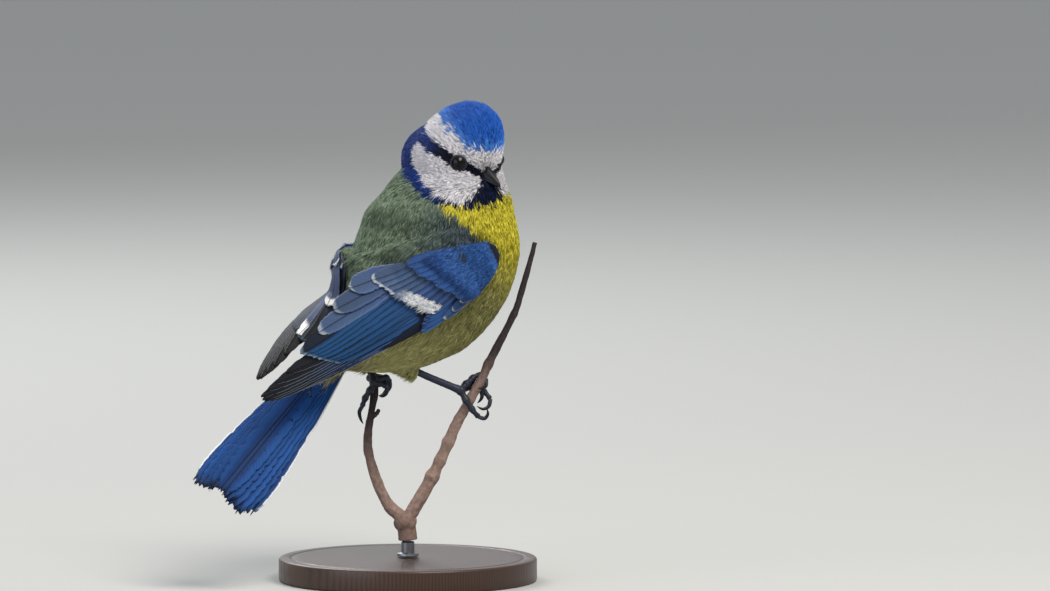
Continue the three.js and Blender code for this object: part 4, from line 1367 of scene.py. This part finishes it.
@dataclass
class WingCover:
    """The feathers of one wing over a thin plate that closes it below."""

    wing: Wing
    maker: FeatherMaker = field(default_factory=FeatherMaker)
    seed: int = 5
    plate_tint: str = "141c2e"
    front_tufts: int = 2300
    white_tufts: int = 170
    white_to: float = 0.56
    # The far wing, on the left, is half covered by the back and in its own shade
    far_tertial_tips: tuple = ((50, 2.2), (28.5, 9))
    # How dark the far wing's primaries and secondaries are painted: painted shade
    far_painted_shade: float = 0.22
    far_sunk: float = 1.5
    far_reach: float = 0.74

    def plate(self) -> Array:
        """Rings of the plate under the feathers."""
        p = np.linspace(-1.4, 55, 60)
        low, high = self.wing.edges(p)
        t = (p + 1.5) / 57.5
        front = np.minimum(1, t * 1.9)
        ring = []
        for share in np.linspace(0, 1, 9):
            ring.append(self.wing.sheet(p, low + (high - low) * share, 1.95 * (1 - front) - 0.15))
        for share in np.linspace(1, 0, 9):
            ring.append(self.wing.sheet(p, low + (high - low) * share, -2.0 + 1.6 * t))
        return np.stack(ring, 1)

    def plate_top(self, p: Array) -> Array:
        """How far the plate's top is above the sheet near its front edge."""
        return 2.0 * (1 - np.minimum(1, (p + 1.5) / 57.5 * 1.9))

    def stance(self, p: Array, q: Array, lift: Array) -> tuple[Array, Array, Array]:
        """Where small feathers stand on the wing.

        Args:
            p: Distances along the wing.
            q: Distances across it.
            lift: Heights above the sheet.

        Returns:
            Their points, their outward directions and the directions that they lie in.
        """
        at = self.wing.sheet(p, q, lift)
        ahead = unit(self.wing.sheet(p + 0.5, q, lift) - at)
        across = unit(self.wing.sheet(p, q + 0.5, lift) - at)
        out = unit(np.cross(ahead, across))
        facing = np.einsum("ij,ij->i", out, self.wing.axes(p)[0])
        return at, np.where((facing < 0)[:, None], -out, out), ahead

    def look(self, name: str, tier: Tier, share: float) -> Vane:
        """The colours of one feather of a row.

        Args:
            name: Name of the row.
            tier: The row.
            share: How far across the wing the feather is, from its lower edge.

        Returns:
            The feather's colours.
        """
        if name == "tertials" and self.wing.side == "left":
            # The far wing's tertials take the darker colours of painted shade
            return TERTIAL_FAR_SHADED
        if name == "greater_coverts" and share > 0.5:
            return INNER_COVERT
        return tier.look

    def build(self) -> bpy.types.Object:
        """Builds the wing's vanes, tier by tier.

        Returns:
            The piece.
        """
        rng = np.random.default_rng(self.seed)
        form = Faces()
        form.add_rings(self.plate(), linear(self.plate_tint))
        far = self.wing.side == "left"
        for name, tier in TIERS.items():
            for i in range(tier.count):
                f = i / (tier.count - 1)
                ends = self.far_tertial_tips if name == "tertials" and far else tier.tips
                root = blend(np.array(tier.roots[0], float), np.array(tier.roots[1], float), f)
                tip = blend(np.array(ends[0], float), np.array(ends[1], float), f)
                tip = tip + [4 * tier.arch * f * (1 - f) + rng.uniform(-.3, .3), rng.uniform(-.15, .15)]
                width = tier.widths[0] + (tier.widths[1] - tier.widths[0]) * f
                lift = tier.lifts[0] + (tier.lifts[1] - tier.lifts[0]) * f
                if far and name in ("greater_coverts", "median_coverts"):
                    lift -= self.far_sunk * f
                look = self.look(name, tier, f)
                # The far wing's primaries and secondaries are painted dark as painted shade; the other
                # feathers vary at random in tone
                shaded = far and name in ("primaries", "secondaries")
                wear = WearAndShade(tone=self.far_painted_shade if shaded else rng.uniform(0.85, 1.12))
                self.maker.lay(form, self.wing.sheet, root, tip, width, lift, look, tier.shaft, tier.blunt,
                               rng, wear)
        piece = form.piece(f"wing_{self.wing.side}_feathers")
        VANE.dress(piece)
        return piece

    def shoulder_tufts(self) -> Roots:
        """Roots of the small blue feathers from the wrist over the front of the wing.

        Returns:
            The roots.
        """
        rng = np.random.default_rng(self.seed + 1)
        n = self.front_tufts
        p = rng.uniform(-1.4, 15.5, n)
        low, high = self.wing.edges(p)
        # On the far side the feathers of the back lie over the upper edge of the wing
        q = low + (high - low) * rng.uniform(0.02, 1.0 if self.wing.side == "right" else self.far_reach, n)
        keep = p < 10.2 + 0.42 * q
        p, q, low, high = p[keep], q[keep], low[keep], high[keep]
        lift = self.plate_top(p) + 0.15 - 1.4 * ease(p, 0.8, -1.4) + 1.3 * ease(p, 5, 11)
        at, out, ahead = self.stance(p, q, lift)
        size = 2.2 + 0.12 * (p + 1.5) + rng.uniform(-.3, .3, len(p))
        tint = blend(linear("2f5393"), linear("4579c4"), rng.random(len(p)))
        tint = blend(tint, linear("2a4684"), 0.6 * ease(p, 7, 14))
        unwrap = np.stack([0.05 + 0.9 * (p + 1.5) / 18, 0.1 + 0.8 * (q + 6) / 16], 1)
        full = np.ones(len(p))
        return Roots(at, out, ahead, size, 0.15 * full, 0.62 * full, 14 * full, tint, 10 * full, unwrap)

    def bar_tufts(self) -> Roots:
        """Roots of the loose pale ends along the bar across the wing.

        Returns:
            The roots.
        """
        rng = np.random.default_rng(self.seed + 2)
        tier = TIERS["greater_coverts"]
        f = rng.uniform(0.0, self.white_to, self.white_tufts)
        first, last = tier.tips
        q = blend(first[1], last[1], f)
        p = blend(first[0], last[0], f) + 4 * tier.arch * f * (1 - f) - rng.uniform(1.0, 3.2, len(f))
        lift = blend(*tier.lifts, f) + 0.12
        at, out, ahead = self.stance(p, q, lift)
        tint = blend(linear("eceef2"), linear("8f9cb0"), ease(f, 0.36, 0.56))
        unwrap = np.stack([0.05 + 0.9 * (p + 1.5) / 32, 0.1 + 0.8 * (q + 6) / 20], 1)
        full = np.ones(len(f))
        size = rng.uniform(1.3, 2.8, len(f)) * blend(1.0, 0.75, ease(f, 0.5, 0.68))
        return Roots(at, out, ahead, size, 0.12 * full, 0.4 * full, 20 * full, tint, 9 * full, unwrap)


@dataclass
class TailFan:
    """Twelve tail feathers in pairs, the middle pair on top, with worn ends."""

    pairs: int = 6
    spread: float = 7.0
    length: float = 49.5
    seed: int = 9

    def build(self) -> bpy.types.Object:
        """Builds the fan.

        Returns:
            The piece.
        """
        rng = np.random.default_rng(self.seed)
        maker = FeatherMaker(steps=50, thick=0.36)
        form = Faces()
        for side in (-1, 1):
            for i in range(self.pairs):
                turn = self.spread * (i + 0.35) / (self.pairs - 0.65) + rng.uniform(-.35, .35)
                angle = side * math.radians(turn)
                long = self.length * (1 - 0.012 * abs(i - 2.2)) + rng.uniform(-.9, .5)
                root = np.array([2, side * (0.25 + 0.35 * i)])
                tip = np.array([long * math.cos(angle), root[1] + long * math.sin(angle)])
                look = TAIL_OUTER if i == self.pairs - 1 else TAIL_FEATHER
                if side > 0:
                    look = replace(look, low_edge=look.high_edge, high_edge=look.low_edge,
                                   low_wide=look.high_wide, high_wide=look.low_wide)
                shaft = side * min(0.55, 0.12 * i)
                maker.lay(form, TAIL.sheet, root, tip, 6.5 - 0.2 * i, 1.2 - 0.42 * i, look, shaft, 0.5, rng,
                          WearAndShade(0.2, 0.75, rng.uniform(0.72, 1.3)))
        piece = form.piece("tail_feathers")
        VANE.dress(piece)
        return piece


# Eyes and bill


@dataclass
class Eyes:
    """Two glass eyes with a thin dark lid round each."""

    lid_radius: float = 1.78
    lid_thick: float = 0.3
    lid_out: float = 1.15

    def build(self) -> dict[str, tuple[bpy.types.Object, bpy.types.Object]]:
        """Builds both eyes and both lids.

        Returns:
            The eye and the lid of each side.
        """
        made = {}
        for name, side in (("right", 1), ("left", -1)):
            at = HEAD.point((EYE_AT[0], side * EYE_AT[1], EYE_AT[2]))
            outward = unit(at - HEAD.point((0.6, 0, 0)))
            bpy.ops.object.select_all(action="DESELECT")
            bpy.ops.mesh.primitive_uv_sphere_add(segments=48, ring_count=32, radius=EYE_RADIUS * MM)
            eye = bpy.context.object
            eye.name = eye.data.name = f"glass_eye_{name}"
            turn = Vector((0, 0, 1)).rotation_difference(Vector(outward)).to_matrix().to_4x4()
            # The clear front bulges a little more than the ball behind it
            for corner in eye.data.vertices:
                high = max(0.0, corner.co.z / (EYE_RADIUS * MM) - 0.72) / 0.28
                corner.co.z += 0.12 * MM * high ** 2
            eye.data.transform(Matrix.Translation(Vector(at * MM)) @ turn)
            away = np.linalg.norm(np.cross(points_of(eye) - at, outward), axis=1)
            tinted(eye, blend(linear("020102"), linear("0c0604"), ease(away, 1.0, 1.25)))
            alone(eye)
            bpy.ops.object.shade_smooth()
            GLASS.dress(eye)
            form = Faces()
            ring, tube = round_angles(40), round_angles(12)
            forward = unit(HEAD.axes()[0] - (HEAD.axes()[0] @ outward) * outward)
            upright = np.cross(outward, forward)
            seat = at + outward * self.lid_out
            radial = np.cos(ring)[:, None] * forward * 1.03 + np.sin(ring)[:, None] * upright * 0.97
            lumps = 1 + 0.08 * np.sin(ring * 9)
            points = (seat + radial * self.lid_radius)[:, None] + self.lid_thick * lumps[:, None, None] * (
                np.cos(tube)[None, :, None] * radial[:, None] + np.sin(tube)[None, :, None] * outward)
            m = len(tube)
            a, j = np.arange(len(ring))[:, None], np.arange(m)[None]
            b, k = (a + 1) % len(ring), (j + 1) % m
            quads = np.stack([a * m + j, a * m + k, b * m + k, b * m + j], -1)
            form.add(points.reshape(-1, 3), quads, np.zeros((0, 3), int), linear("151a2c"))
            lid = form.piece(f"eyelid_{name}")
            SCALES.dress(lid)
            made[name] = (eye, lid)
        return made


@dataclass
class Bill:
    """The short dark bill, in two halves that meet at the mouth line."""

    base: float = 8.6
    tip: float = 14.9
    half_width: float = 2.1
    up: float = 2.3
    down: float = 1.95
    height: float = -1.3
    droop: float = 0.5
    taper: float = 0.72
    blunt: float = 0.05
    mouth_gap: float = 0.08

    def half(self, upper: bool) -> bpy.types.Object:
        """Builds the upper or the lower half.

        Args:
            upper: Whether it is the upper half.

        Returns:
            The piece.
        """
        t = np.linspace(0, 1, 40)[:, None]
        angle = np.linspace(0, math.pi, 25)[None] * (1 if upper else -1)
        thin = (1 - t) ** self.taper + self.blunt
        tall = (self.up if upper else self.down) * thin
        mouth = self.height - self.droop * t ** 2 + (self.mouth_gap if upper else -self.mouth_gap)
        keel = 1 + 0.12 * np.abs(np.sin(angle)) ** 8
        nostril = np.exp(-((t - 0.2) / 0.05) ** 2 - ((np.abs(np.abs(angle) - math.pi / 2) - 0.72) / 0.2) ** 2)
        deep = 1 - (0.16 * nostril if upper else 0)
        across = np.cos(angle) * self.half_width * thin * deep
        rise = np.sin(angle) * tall * keel * deep
        forward = self.base + (self.tip - self.base) * t + 0 * angle
        curved = HEAD.point(np.stack([forward, across, mouth + rise], -1))
        flat = HEAD.point(np.stack([forward, across * 0.9, mouth + 0 * angle], -1))[:, ::-1]
        rings = np.concatenate([curved, flat], 1)
        edge = ease(np.abs(np.sin(angle)), 0.2, 0.04) * ease(t, 0.1, 0.4)
        tint = blend(linear("0d0f15"), linear("5d616c"), 0.45 * edge)
        tint = blend(tint, linear("4b4e55"), 0.4 * ease(t, 0.93, 1.0) + 0 * angle)
        tint = blend(tint, linear("050507"), nostril if upper else 0 * nostril)
        form = Faces()
        form.add_rings(rings, np.concatenate([tint, tint[:, ::-1]], 1))
        piece = form.piece("bill_upper_horn" if upper else "bill_lower_horn")
        HORN.dress(piece)
        return piece


# Legs


LEGS = {
    "right": {
        "tarsus": ((0.6, -4.3, 51.4), (5, -3.6, 49.3), (8.9, -2.9, 47.6), (12.3, -2.2, 46.1)),
        "toes": (
            ((12.7, -2.1, 45.9), (14, -2.6, 43.6), (15.7, -2.3, 41), (17, -1.6, 39.5)),
            ((12.7, -2, 45.9), (13.9, .2, 46.4), (15.8, 1.7, 45.9), (18, 1.4, 45.5), (19.8, .6, 43.6)),
            ((12.7, -2, 46), (14.6, -.3, 47.8), (16.6, 1, 49.2), (18.1, 1.1, 49), (18.8, .2, 47.8)),
            ((12.7, -2, 46), (14.2, .2, 47.1), (15.7, 1.5, 47.2), (17.3, 1.4, 46.6), (17.6, .7, 45.5)),
        ),
        "claws": (
            ((17, -1.6, 39.5), (18.4, -1.2, 39.1), (19.2, -1, 40.1), (19, -1, 41.4)),
            ((19.8, .6, 43.6), (19.4, .1, 41.9), (18, -.6, 41.3), (16.6, -1, 42)),
            ((18.8, .2, 47.8), (18.7, -.7, 46.9), (17.9, -1.8, 46.4), (16.8, -2.5, 46.5)),
            ((17.6, .7, 45.5), (17.8, .2, 44.3), (17.4, -.2, 43.4), (16.7, -.5, 42.7)),
        ),
    },
    "left": {
        "tarsus": ((-9.6, 1.8, 51.4), (-8.7, .6, 49.6), (-8.1, -.6, 47.9)),
        "toes": (
            ((-8, -.8, 47.7), (-8.9, -.7, 46), (-10.1, -.4, 44.1), (-10.9, .3, 41.9)),
            ((-8, -.8, 47.7), (-6.5, -1, 48.7), (-5, -.6, 48.8), (-4.3, 0, 47.8)),
            ((-8, -.8, 47.7), (-6.7, -1.2, 47.5), (-5.4, -1, 47), (-4.8, -.4, 46)),
            ((-8.2, -.6, 48), (-9, 1.2, 48.7), (-7.6, 2.9, 48.9), (-6, 2.9, 48.2), (-5.3, 2.4, 47.2)),
        ),
        "claws": (
            ((-10.9, .3, 41.9), (-11.6, .3, 40.5), (-11.3, .5, 38.8), (-10.7, .9, 37.6)),
            ((-4.3, 0, 47.8), (-4.3, .1, 46.5), (-5.2, .2, 45.2), (-6.6, -.2, 44.2)),
            ((-4.8, -.4, 46), (-5.3, -.6, 44.9), (-6.1, -.8, 44.4), (-7, -1, 44.6)),
            ((-5.3, 2.4, 47.2), (-5, 2.1, 46), (-5.8, 2.3, 44.8), (-6.7, 2.4, 44.3)),
        ),
    },
}


@dataclass
class Leg:
    """One leg: a scaly shank, a foot of four toes with joints, and its claws."""

    side: str
    shank_radii: tuple = (0.8, 0.9)
    toe_radii: tuple = (0.95, 0.64)
    heel_radius: float = 1.25
    claw_radius: float = 0.46
    tone: str = "222b40"
    joint_tone: str = "131a28"

    def shank(self) -> bpy.types.Object:
        """Builds the shank, with a row of broad scales down its front."""
        path = in_fork(np.array(LEGS[self.side]["tarsus"], float))
        t = np.linspace(0, 1, 60)
        scutes = 1 + 0.035 * np.abs(np.sin(t * math.pi * 7)) + 0.14 * np.exp(-((t - 1) / 0.08) ** 2)
        form = Faces()
        form.add_rings(tube_rings(path, self.shank_radii, 20, 60, scutes), linear(self.tone))
        piece = form.piece(f"shank_{self.side}")
        SCALES.dress(piece)
        return piece

    def foot(self) -> bpy.types.Object:
        """Builds the toes and the ball of the foot as one closed skin."""
        form = Faces()
        t = np.linspace(0, 1, 48)
        for toe in LEGS[self.side]["toes"]:
            path = in_fork(np.array(toe, float))
            swell = 1 + 0.17 * np.cos(t * 2 * math.pi * (len(toe) - 1)) + 0.03 * np.sin(t * 60)
            swell[-3:] *= [0.95, 0.85, 0.6]
            form.add_rings(tube_rings(path, self.toe_radii, 16, 48, swell), linear(self.tone))
        heel = in_fork(np.array(LEGS[self.side]["toes"][0][:1], float))[0]
        ball = ball_ways(np.linspace(0.05, math.pi - 0.05, 14)[:, None], round_angles(20)[None])
        form.add_rings(heel + ball * self.heel_radius)
        piece = form.piece(f"toes_{self.side}")
        melted(piece, 0.13, 0.4, 2)
        points = points_of(piece)
        near = np.linalg.norm(points - heel, axis=1)
        tinted(piece, blend(linear(self.joint_tone), linear(self.tone), 0.5 + 0.5 * np.sin(near * 2.4)))
        alone(piece)
        bpy.ops.object.shade_smooth()
        SCALES.dress(piece)
        return piece

    def claws(self) -> list[bpy.types.Object]:
        """Builds the four curved claws."""
        made = []
        for i, claw in enumerate(LEGS[self.side]["claws"]):
            t = np.linspace(0, 1, 30)
            taper = (1 - t ** 2.2) ** 0.8 + 0.12
            rings = tube_rings(in_fork(np.array(claw, float)), (self.claw_radius,) * 2, 14, 30, taper)
            tint = blend(linear("3a3f4c"), linear("15171d"), ease(t, 0, 0.5))[:, None].repeat(14, 1)
            form = Faces()
            form.add_rings(rings, tint)
            piece = form.piece(f"claw_horn_{self.side}_{i + 1}")
            HORN.dress(piece)
            made.append(piece)
        return made


# Perch and stand


@dataclass
class Perch:
    """A short forked twig: a stem with a knuckle, and two branches."""

    stem: tuple = ((0, 0, 9.7), (-.2, 0, 12), (-.6, 0, 14.6))
    right: tuple = ((.2, 0, 15.2), (4.1, 0, 21.7), (7.7, 0, 28.7), (11.3, -.2, 36.9), (13.1, -.3, 40.2),
                    (14.3, -.4, 42.4), (16.4, -.4, 46.1), (17.6, -.4, 48.2), (19.1, -.3, 51.6),
                    (21.4, .1, 56.1), (25.7, .6, 64.6), (27.4, .8, 69.9), (29.3, 1.1, 76.6),
                    (30.5, 1.2, 81.2))
    left: tuple = ((-1.4, 0, 15.2), (-4.8, .2, 18.3), (-7.7, .5, 24.6), (-9.4, .8, 30.6), (-9.6, 1, 34.5),
                   (-9.1, 1, 38.3), (-8.4, 1, 42.2), (-7.9, 1, 45.3), (-7.4, 1, 48.2))
    bud: tuple = ((-8.6, .9, 39.4), (-7.5, .4, 40.1), (-6.9, .1, 41.1))
    dark_from: dict = field(default_factory=lambda: {
        "twig_right_bark": (44, 56), "twig_left_bark": (20, 42)})
    pale: str = "9c8378"
    dark: str = "3b3236"
    knuckle_tone: str = "8a7268"
    knuckle_radius: float = 2.75
    relief: float = 0.085

    def branch(self, name: str, lines: tuple, seed: int) -> bpy.types.Object:
        """Builds one part of the twig with ridged bark.

        Args:
            name: Name of the piece.
            lines: Each line of the part with its first and last radius.
            seed: Seed of the bark's unevenness.

        Returns:
            The piece.
        """
        rng = np.random.default_rng(seed)
        form = Faces()
        for path, first, last in lines:
            rows = in_fork(np.array(path, float))
            steps = max(24, int(np.linalg.norm(np.diff(rows, axis=0), axis=1).sum() / 0.3))
            t = np.linspace(0, 1, steps)
            knots = 1 + 0.05 * np.sin(t * 23)
            for at in rng.uniform(0.08, 0.92, max(1, steps // 30)):
                knots = knots + 0.16 * np.exp(-((t - at) * steps * 0.3 / 1.1) ** 2)
            rings = tube_rings(rows, (first, last), 22, steps, knots)
            ridge = rng.normal(0, 1, (steps, 22))
            for _ in range(3):
                ridge = (ridge + np.roll(ridge, 1, 0) + np.roll(ridge, -1, 0)) / 3
            centre = rings.mean(1, keepdims=True)
            rings = centre + (rings - centre) * (1 + self.relief * ridge[..., None])
            high = ease(rings[..., 2], *self.dark_from[name])
            tone = blend(linear(self.pale), linear(self.dark), high)
            tone = tone * (1 + 0.16 * ridge[..., None])
            form.add_rings(rings, tone)
        piece = form.piece(name)
        BARK.dress(piece)
        return piece

    def knuckle(self) -> bpy.types.Object:
        """Builds the stem with the swollen fork that both branches grow from."""
        form = Faces()
        rows = in_fork(np.array(self.stem, float))
        form.add_rings(tube_rings(rows, (2.3, 2.15), 28, 20), linear(self.knuckle_tone))
        heart = in_fork(np.array([[-.6, 0, 14]], float))[0]
        down, angle = np.linspace(0.05, math.pi - 0.05, 20)[:, None], round_angles(28)[None]
        lumps = 1 + 0.05 * np.sin(angle * 5 + down * 4)
        form.add_rings(heart + ball_ways(down, angle) * self.knuckle_radius * lumps[..., None])
        piece = form.piece("twig_fork_bark")
        melted(piece, 0.22, 0.5, 3)
        tinted(piece, linear(self.knuckle_tone))
        alone(piece)
        bpy.ops.object.shade_smooth()
        BARK.dress(piece)
        return piece


@dataclass
class Stand:
    """A turned wooden foot with a short steel rod."""

    radius: float = 31.0
    thick: float = 5.5
    chamfer: float = 1.2
    rod_radius: float = 1.6
    rod_top: float = 9.4
    rod_gap: float = 0.3
    # Steps inwards and down from the top's edge that cut the groove
    groove: tuple = ((2.6, 0), (0.5, -0.35), (0.5, 0.35))

    def foot(self) -> bpy.types.Object:
        """Turns the foot from a cylinder: a rounded rim and a shallow groove near the top's edge."""
        bpy.ops.object.select_all(action="DESELECT")
        bpy.ops.mesh.primitive_cylinder_add(vertices=128, radius=self.radius * MM, depth=self.thick * MM,
                                            location=(0, 0, self.thick / 2 * MM))
        foot = bpy.context.object
        foot.name = foot.data.name = "stand_foot_wood"
        bpy.ops.object.transform_apply(location=True, rotation=True, scale=True)
        form = bmesh.new()
        form.from_mesh(foot.data)
        top = max(form.faces, key=lambda face: face.calc_center_median().z)
        for inset, depth in self.groove:
            bmesh.ops.inset_region(form, faces=[top], thickness=inset * MM, depth=depth * MM)
        form.to_mesh(foot.data)
        form.free()
        modified(foot, "BEVEL", width=self.chamfer * 0.55 * MM, segments=4, limit_method="ANGLE",
                 angle_limit=math.radians(50))
        alone(foot)
        bpy.ops.object.shade_smooth_by_angle(angle=math.radians(40))
        WALNUT.dress(foot)
        return foot

    def rod(self) -> bpy.types.Object:
        """Makes the rod, with a softened top edge and a small collar where it enters the wood."""
        low, top, radius = self.thick + self.rod_gap, self.rod_top, self.rod_radius
        profile = [(2.5, low), (2.7, low + 0.2), (2.6, low + 0.7), (radius, low + 0.95), (radius, top - 0.25),
                   (radius - 0.25, top)]
        angle = round_angles(64)
        rings = np.stack([np.stack([r * np.cos(angle), r * np.sin(angle), np.full(64, z)], 1)
                          for r, z in profile])
        form = Faces()
        form.add_rings(rings)
        rod = form.piece("stand_rod_steel")
        alone(rod)
        bpy.ops.object.shade_smooth_by_angle(angle=math.radians(30))
        STEEL.dress(rod)
        return rod


# Setting


@dataclass
class Studio:
    """The camera, the soft lights and the pale floor."""

    turn: float = -32.0
    height: float = 5.0
    target: tuple = (0.02699, -0.00984, 0.06803)
    distance: float = 2.8
    lens: float = 400.0
    # Each light's name, its place to the camera's right, up and back in metres, its width, power and tone
    lamps: tuple = (
        ("key_light", (0.35, 0.75, 0.55), 0.5, 10, "fff8ee"),
        ("fill_light", (-0.8, 0.25, 0.7), 0.9, 4.5, "f4f6ff"),
        ("rim_light", (-0.3, 0.7, -0.7), 0.6, 6, "ffffff"),
    )
    lit_height: float = 0.075
    sky: str = "e3e6ea"
    sky_strength: float = 0.7
    floor_half: float = 4000.0
    floor_height: float = -0.05

    def axes(self) -> Array:
        """Rows of the camera's right, up and backward directions."""
        turn, height = math.radians(self.turn), math.radians(self.height)
        level = math.cos(height)
        back = np.array([math.sin(turn) * level, -math.cos(turn) * level, math.sin(height)])
        right = np.array([math.cos(turn), math.sin(turn), 0])
        return np.stack([right, np.cross(back, right), back])

    def camera(self) -> None:
        """Sets the camera at the photograph's angle."""
        data = bpy.data.cameras.new("camera")
        data.lens, data.sensor_width, data.sensor_fit = self.lens, 36, "HORIZONTAL"
        data.clip_end = 20
        camera = bpy.data.objects.new("camera", data)
        bpy.context.collection.objects.link(camera)
        axes = self.axes()
        place = Matrix([[*axes[:, k], 0] for k in range(3)] + [[0, 0, 0, 1]])
        place.translation = Vector(self.target) + Vector(axes[2]) * self.distance
        camera.matrix_world = place
        bpy.context.scene.camera = camera

    def light(self, name: str, offset: tuple, size: float, power: float, tone: str) -> None:
        """Adds a soft square light that faces the bird.

        Args:
            name: Name of the light.
            offset: Its place from the bird to the camera's right, up and back, in metres.
            size: Its width in metres.
            power: Its power in watts.
            tone: Its colour.
        """
        data = bpy.data.lights.new(name, "AREA")
        data.size, data.energy, data.color = size, power, linear(tone)
        lamp = bpy.data.objects.new(name, data)
        bpy.context.collection.objects.link(lamp)
        away = Vector(np.array(offset) @ self.axes())
        lamp.location = Vector((0, 0, self.lit_height)) + away
        lamp.rotation_euler = away.to_track_quat("Z", "Y").to_euler()

    def build(self) -> None:
        """Sets the lights, the world, the floor and the camera."""
        self.camera()
        for lamp in self.lamps:
            self.light(*lamp)
        world = bpy.data.worlds.new("studio")
        world.use_nodes = True
        sky = world.node_tree.nodes["Background"]
        sky.inputs["Color"].default_value = (*linear(self.sky), 1)
        sky.inputs["Strength"].default_value = self.sky_strength
        bpy.context.scene.world = world
        bpy.context.scene.view_settings.view_transform = "Standard"
        form = Faces()
        signs = ((-1, -1), (1, -1), (1, 1), (-1, 1))
        corners = [[x * self.floor_half, y * self.floor_half, self.floor_height] for x, y in signs]
        form.add(np.array(corners), np.array([[0, 1, 2, 3]]), np.zeros((0, 3), int))
        floor = form.piece("floor")
        FLOOR.dress(floor)
        floor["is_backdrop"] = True


def shown(piece: bpy.types.Object, slot: str, *nodes: str) -> None:
    """Puts a finished piece into the model.

    Args:
        piece: The object.
        slot: The record's slot of its finish; not used.
        *nodes: The solids that it takes the place of.
    """
    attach(piece, "root")
    if nodes:
        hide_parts(*nodes)
    LOG.info("%s: %d faces", piece.name, len(piece.data.polygons))


# The record's slot of each region of the coat that has one of its own
PLUMAGE = {"crown": "head_plumage", "face": "head_plumage", "nape": "collar_plumage",
           "belly": "belly_plumage"}


def main() -> None:
    """Builds the bird, its twig, the stand and the setting in order."""
    logging.basicConfig(level=logging.INFO, format="%(message)s")
    bpy.ops.object.select_all(action="DESELECT")
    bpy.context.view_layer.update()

    skin = Skin().build()
    shown(skin, "body_plumage", "torso", "neck", "head", "thigh_right", "thigh_left")
    coat = Coat()
    for piece in coat.build(skin):
        region = piece.name.split("_")[1]
        shown(piece, PLUMAGE.get(region, "body_plumage"))
    for wing in WINGS:
        cover = WingCover(wing)
        shown(cover.build(), "wing_feathers", f"wing_{wing.side}")
        tufts = cover.shoulder_tufts().along_with(cover.bar_tufts())
        shown(coat.grow(f"coat_wing_{wing.side}", tufts, 77), "wing_feathers")
    shown(TailFan().build(), "tail_feathers", "tail")

    for side, (eye, lid) in Eyes().build().items():
        shown(eye, "eye", f"eye_{side}")
        shown(lid, "head_plumage")
    bill = Bill()
    shown(bill.half(True), "bill", "bill_upper")
    shown(bill.half(False), "bill", "bill_lower")

    for side in LEGS:
        leg = Leg(side)
        shown(leg.shank(), "leg_skin", f"tarsus_{side}")
        shown(leg.foot(), "leg_skin", f"foot_{side}")
        for i, claw in enumerate(leg.claws()):
            shown(claw, "claw", f"claw_{side}_{i + 1}")

    perch = Perch()
    shown(perch.knuckle(), "bark", "perch_fork")
    shown(perch.branch("twig_right_bark", ((perch.right, 1.6, 0.55),), 3), "bark", "perch_branch_right")
    left = ((perch.left, 1.5, 0.65), (perch.bud, 0.75, 0.35))
    shown(perch.branch("twig_left_bark", left, 4), "bark", "perch_branch_left")
    stand = Stand()
    shown(stand.foot(), "stand_wood", "stand_base")
    shown(stand.rod(), "stand_metal", "stand_rod")

    Studio().build()
    meshes = [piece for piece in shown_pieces() if piece.type == "MESH"]
    total = sum(len(face.vertices) - 2 for piece in meshes for face in piece.data.polygons)
    LOG.info("%d triangles in all", total)


if __name__ == "__main__":
    main()
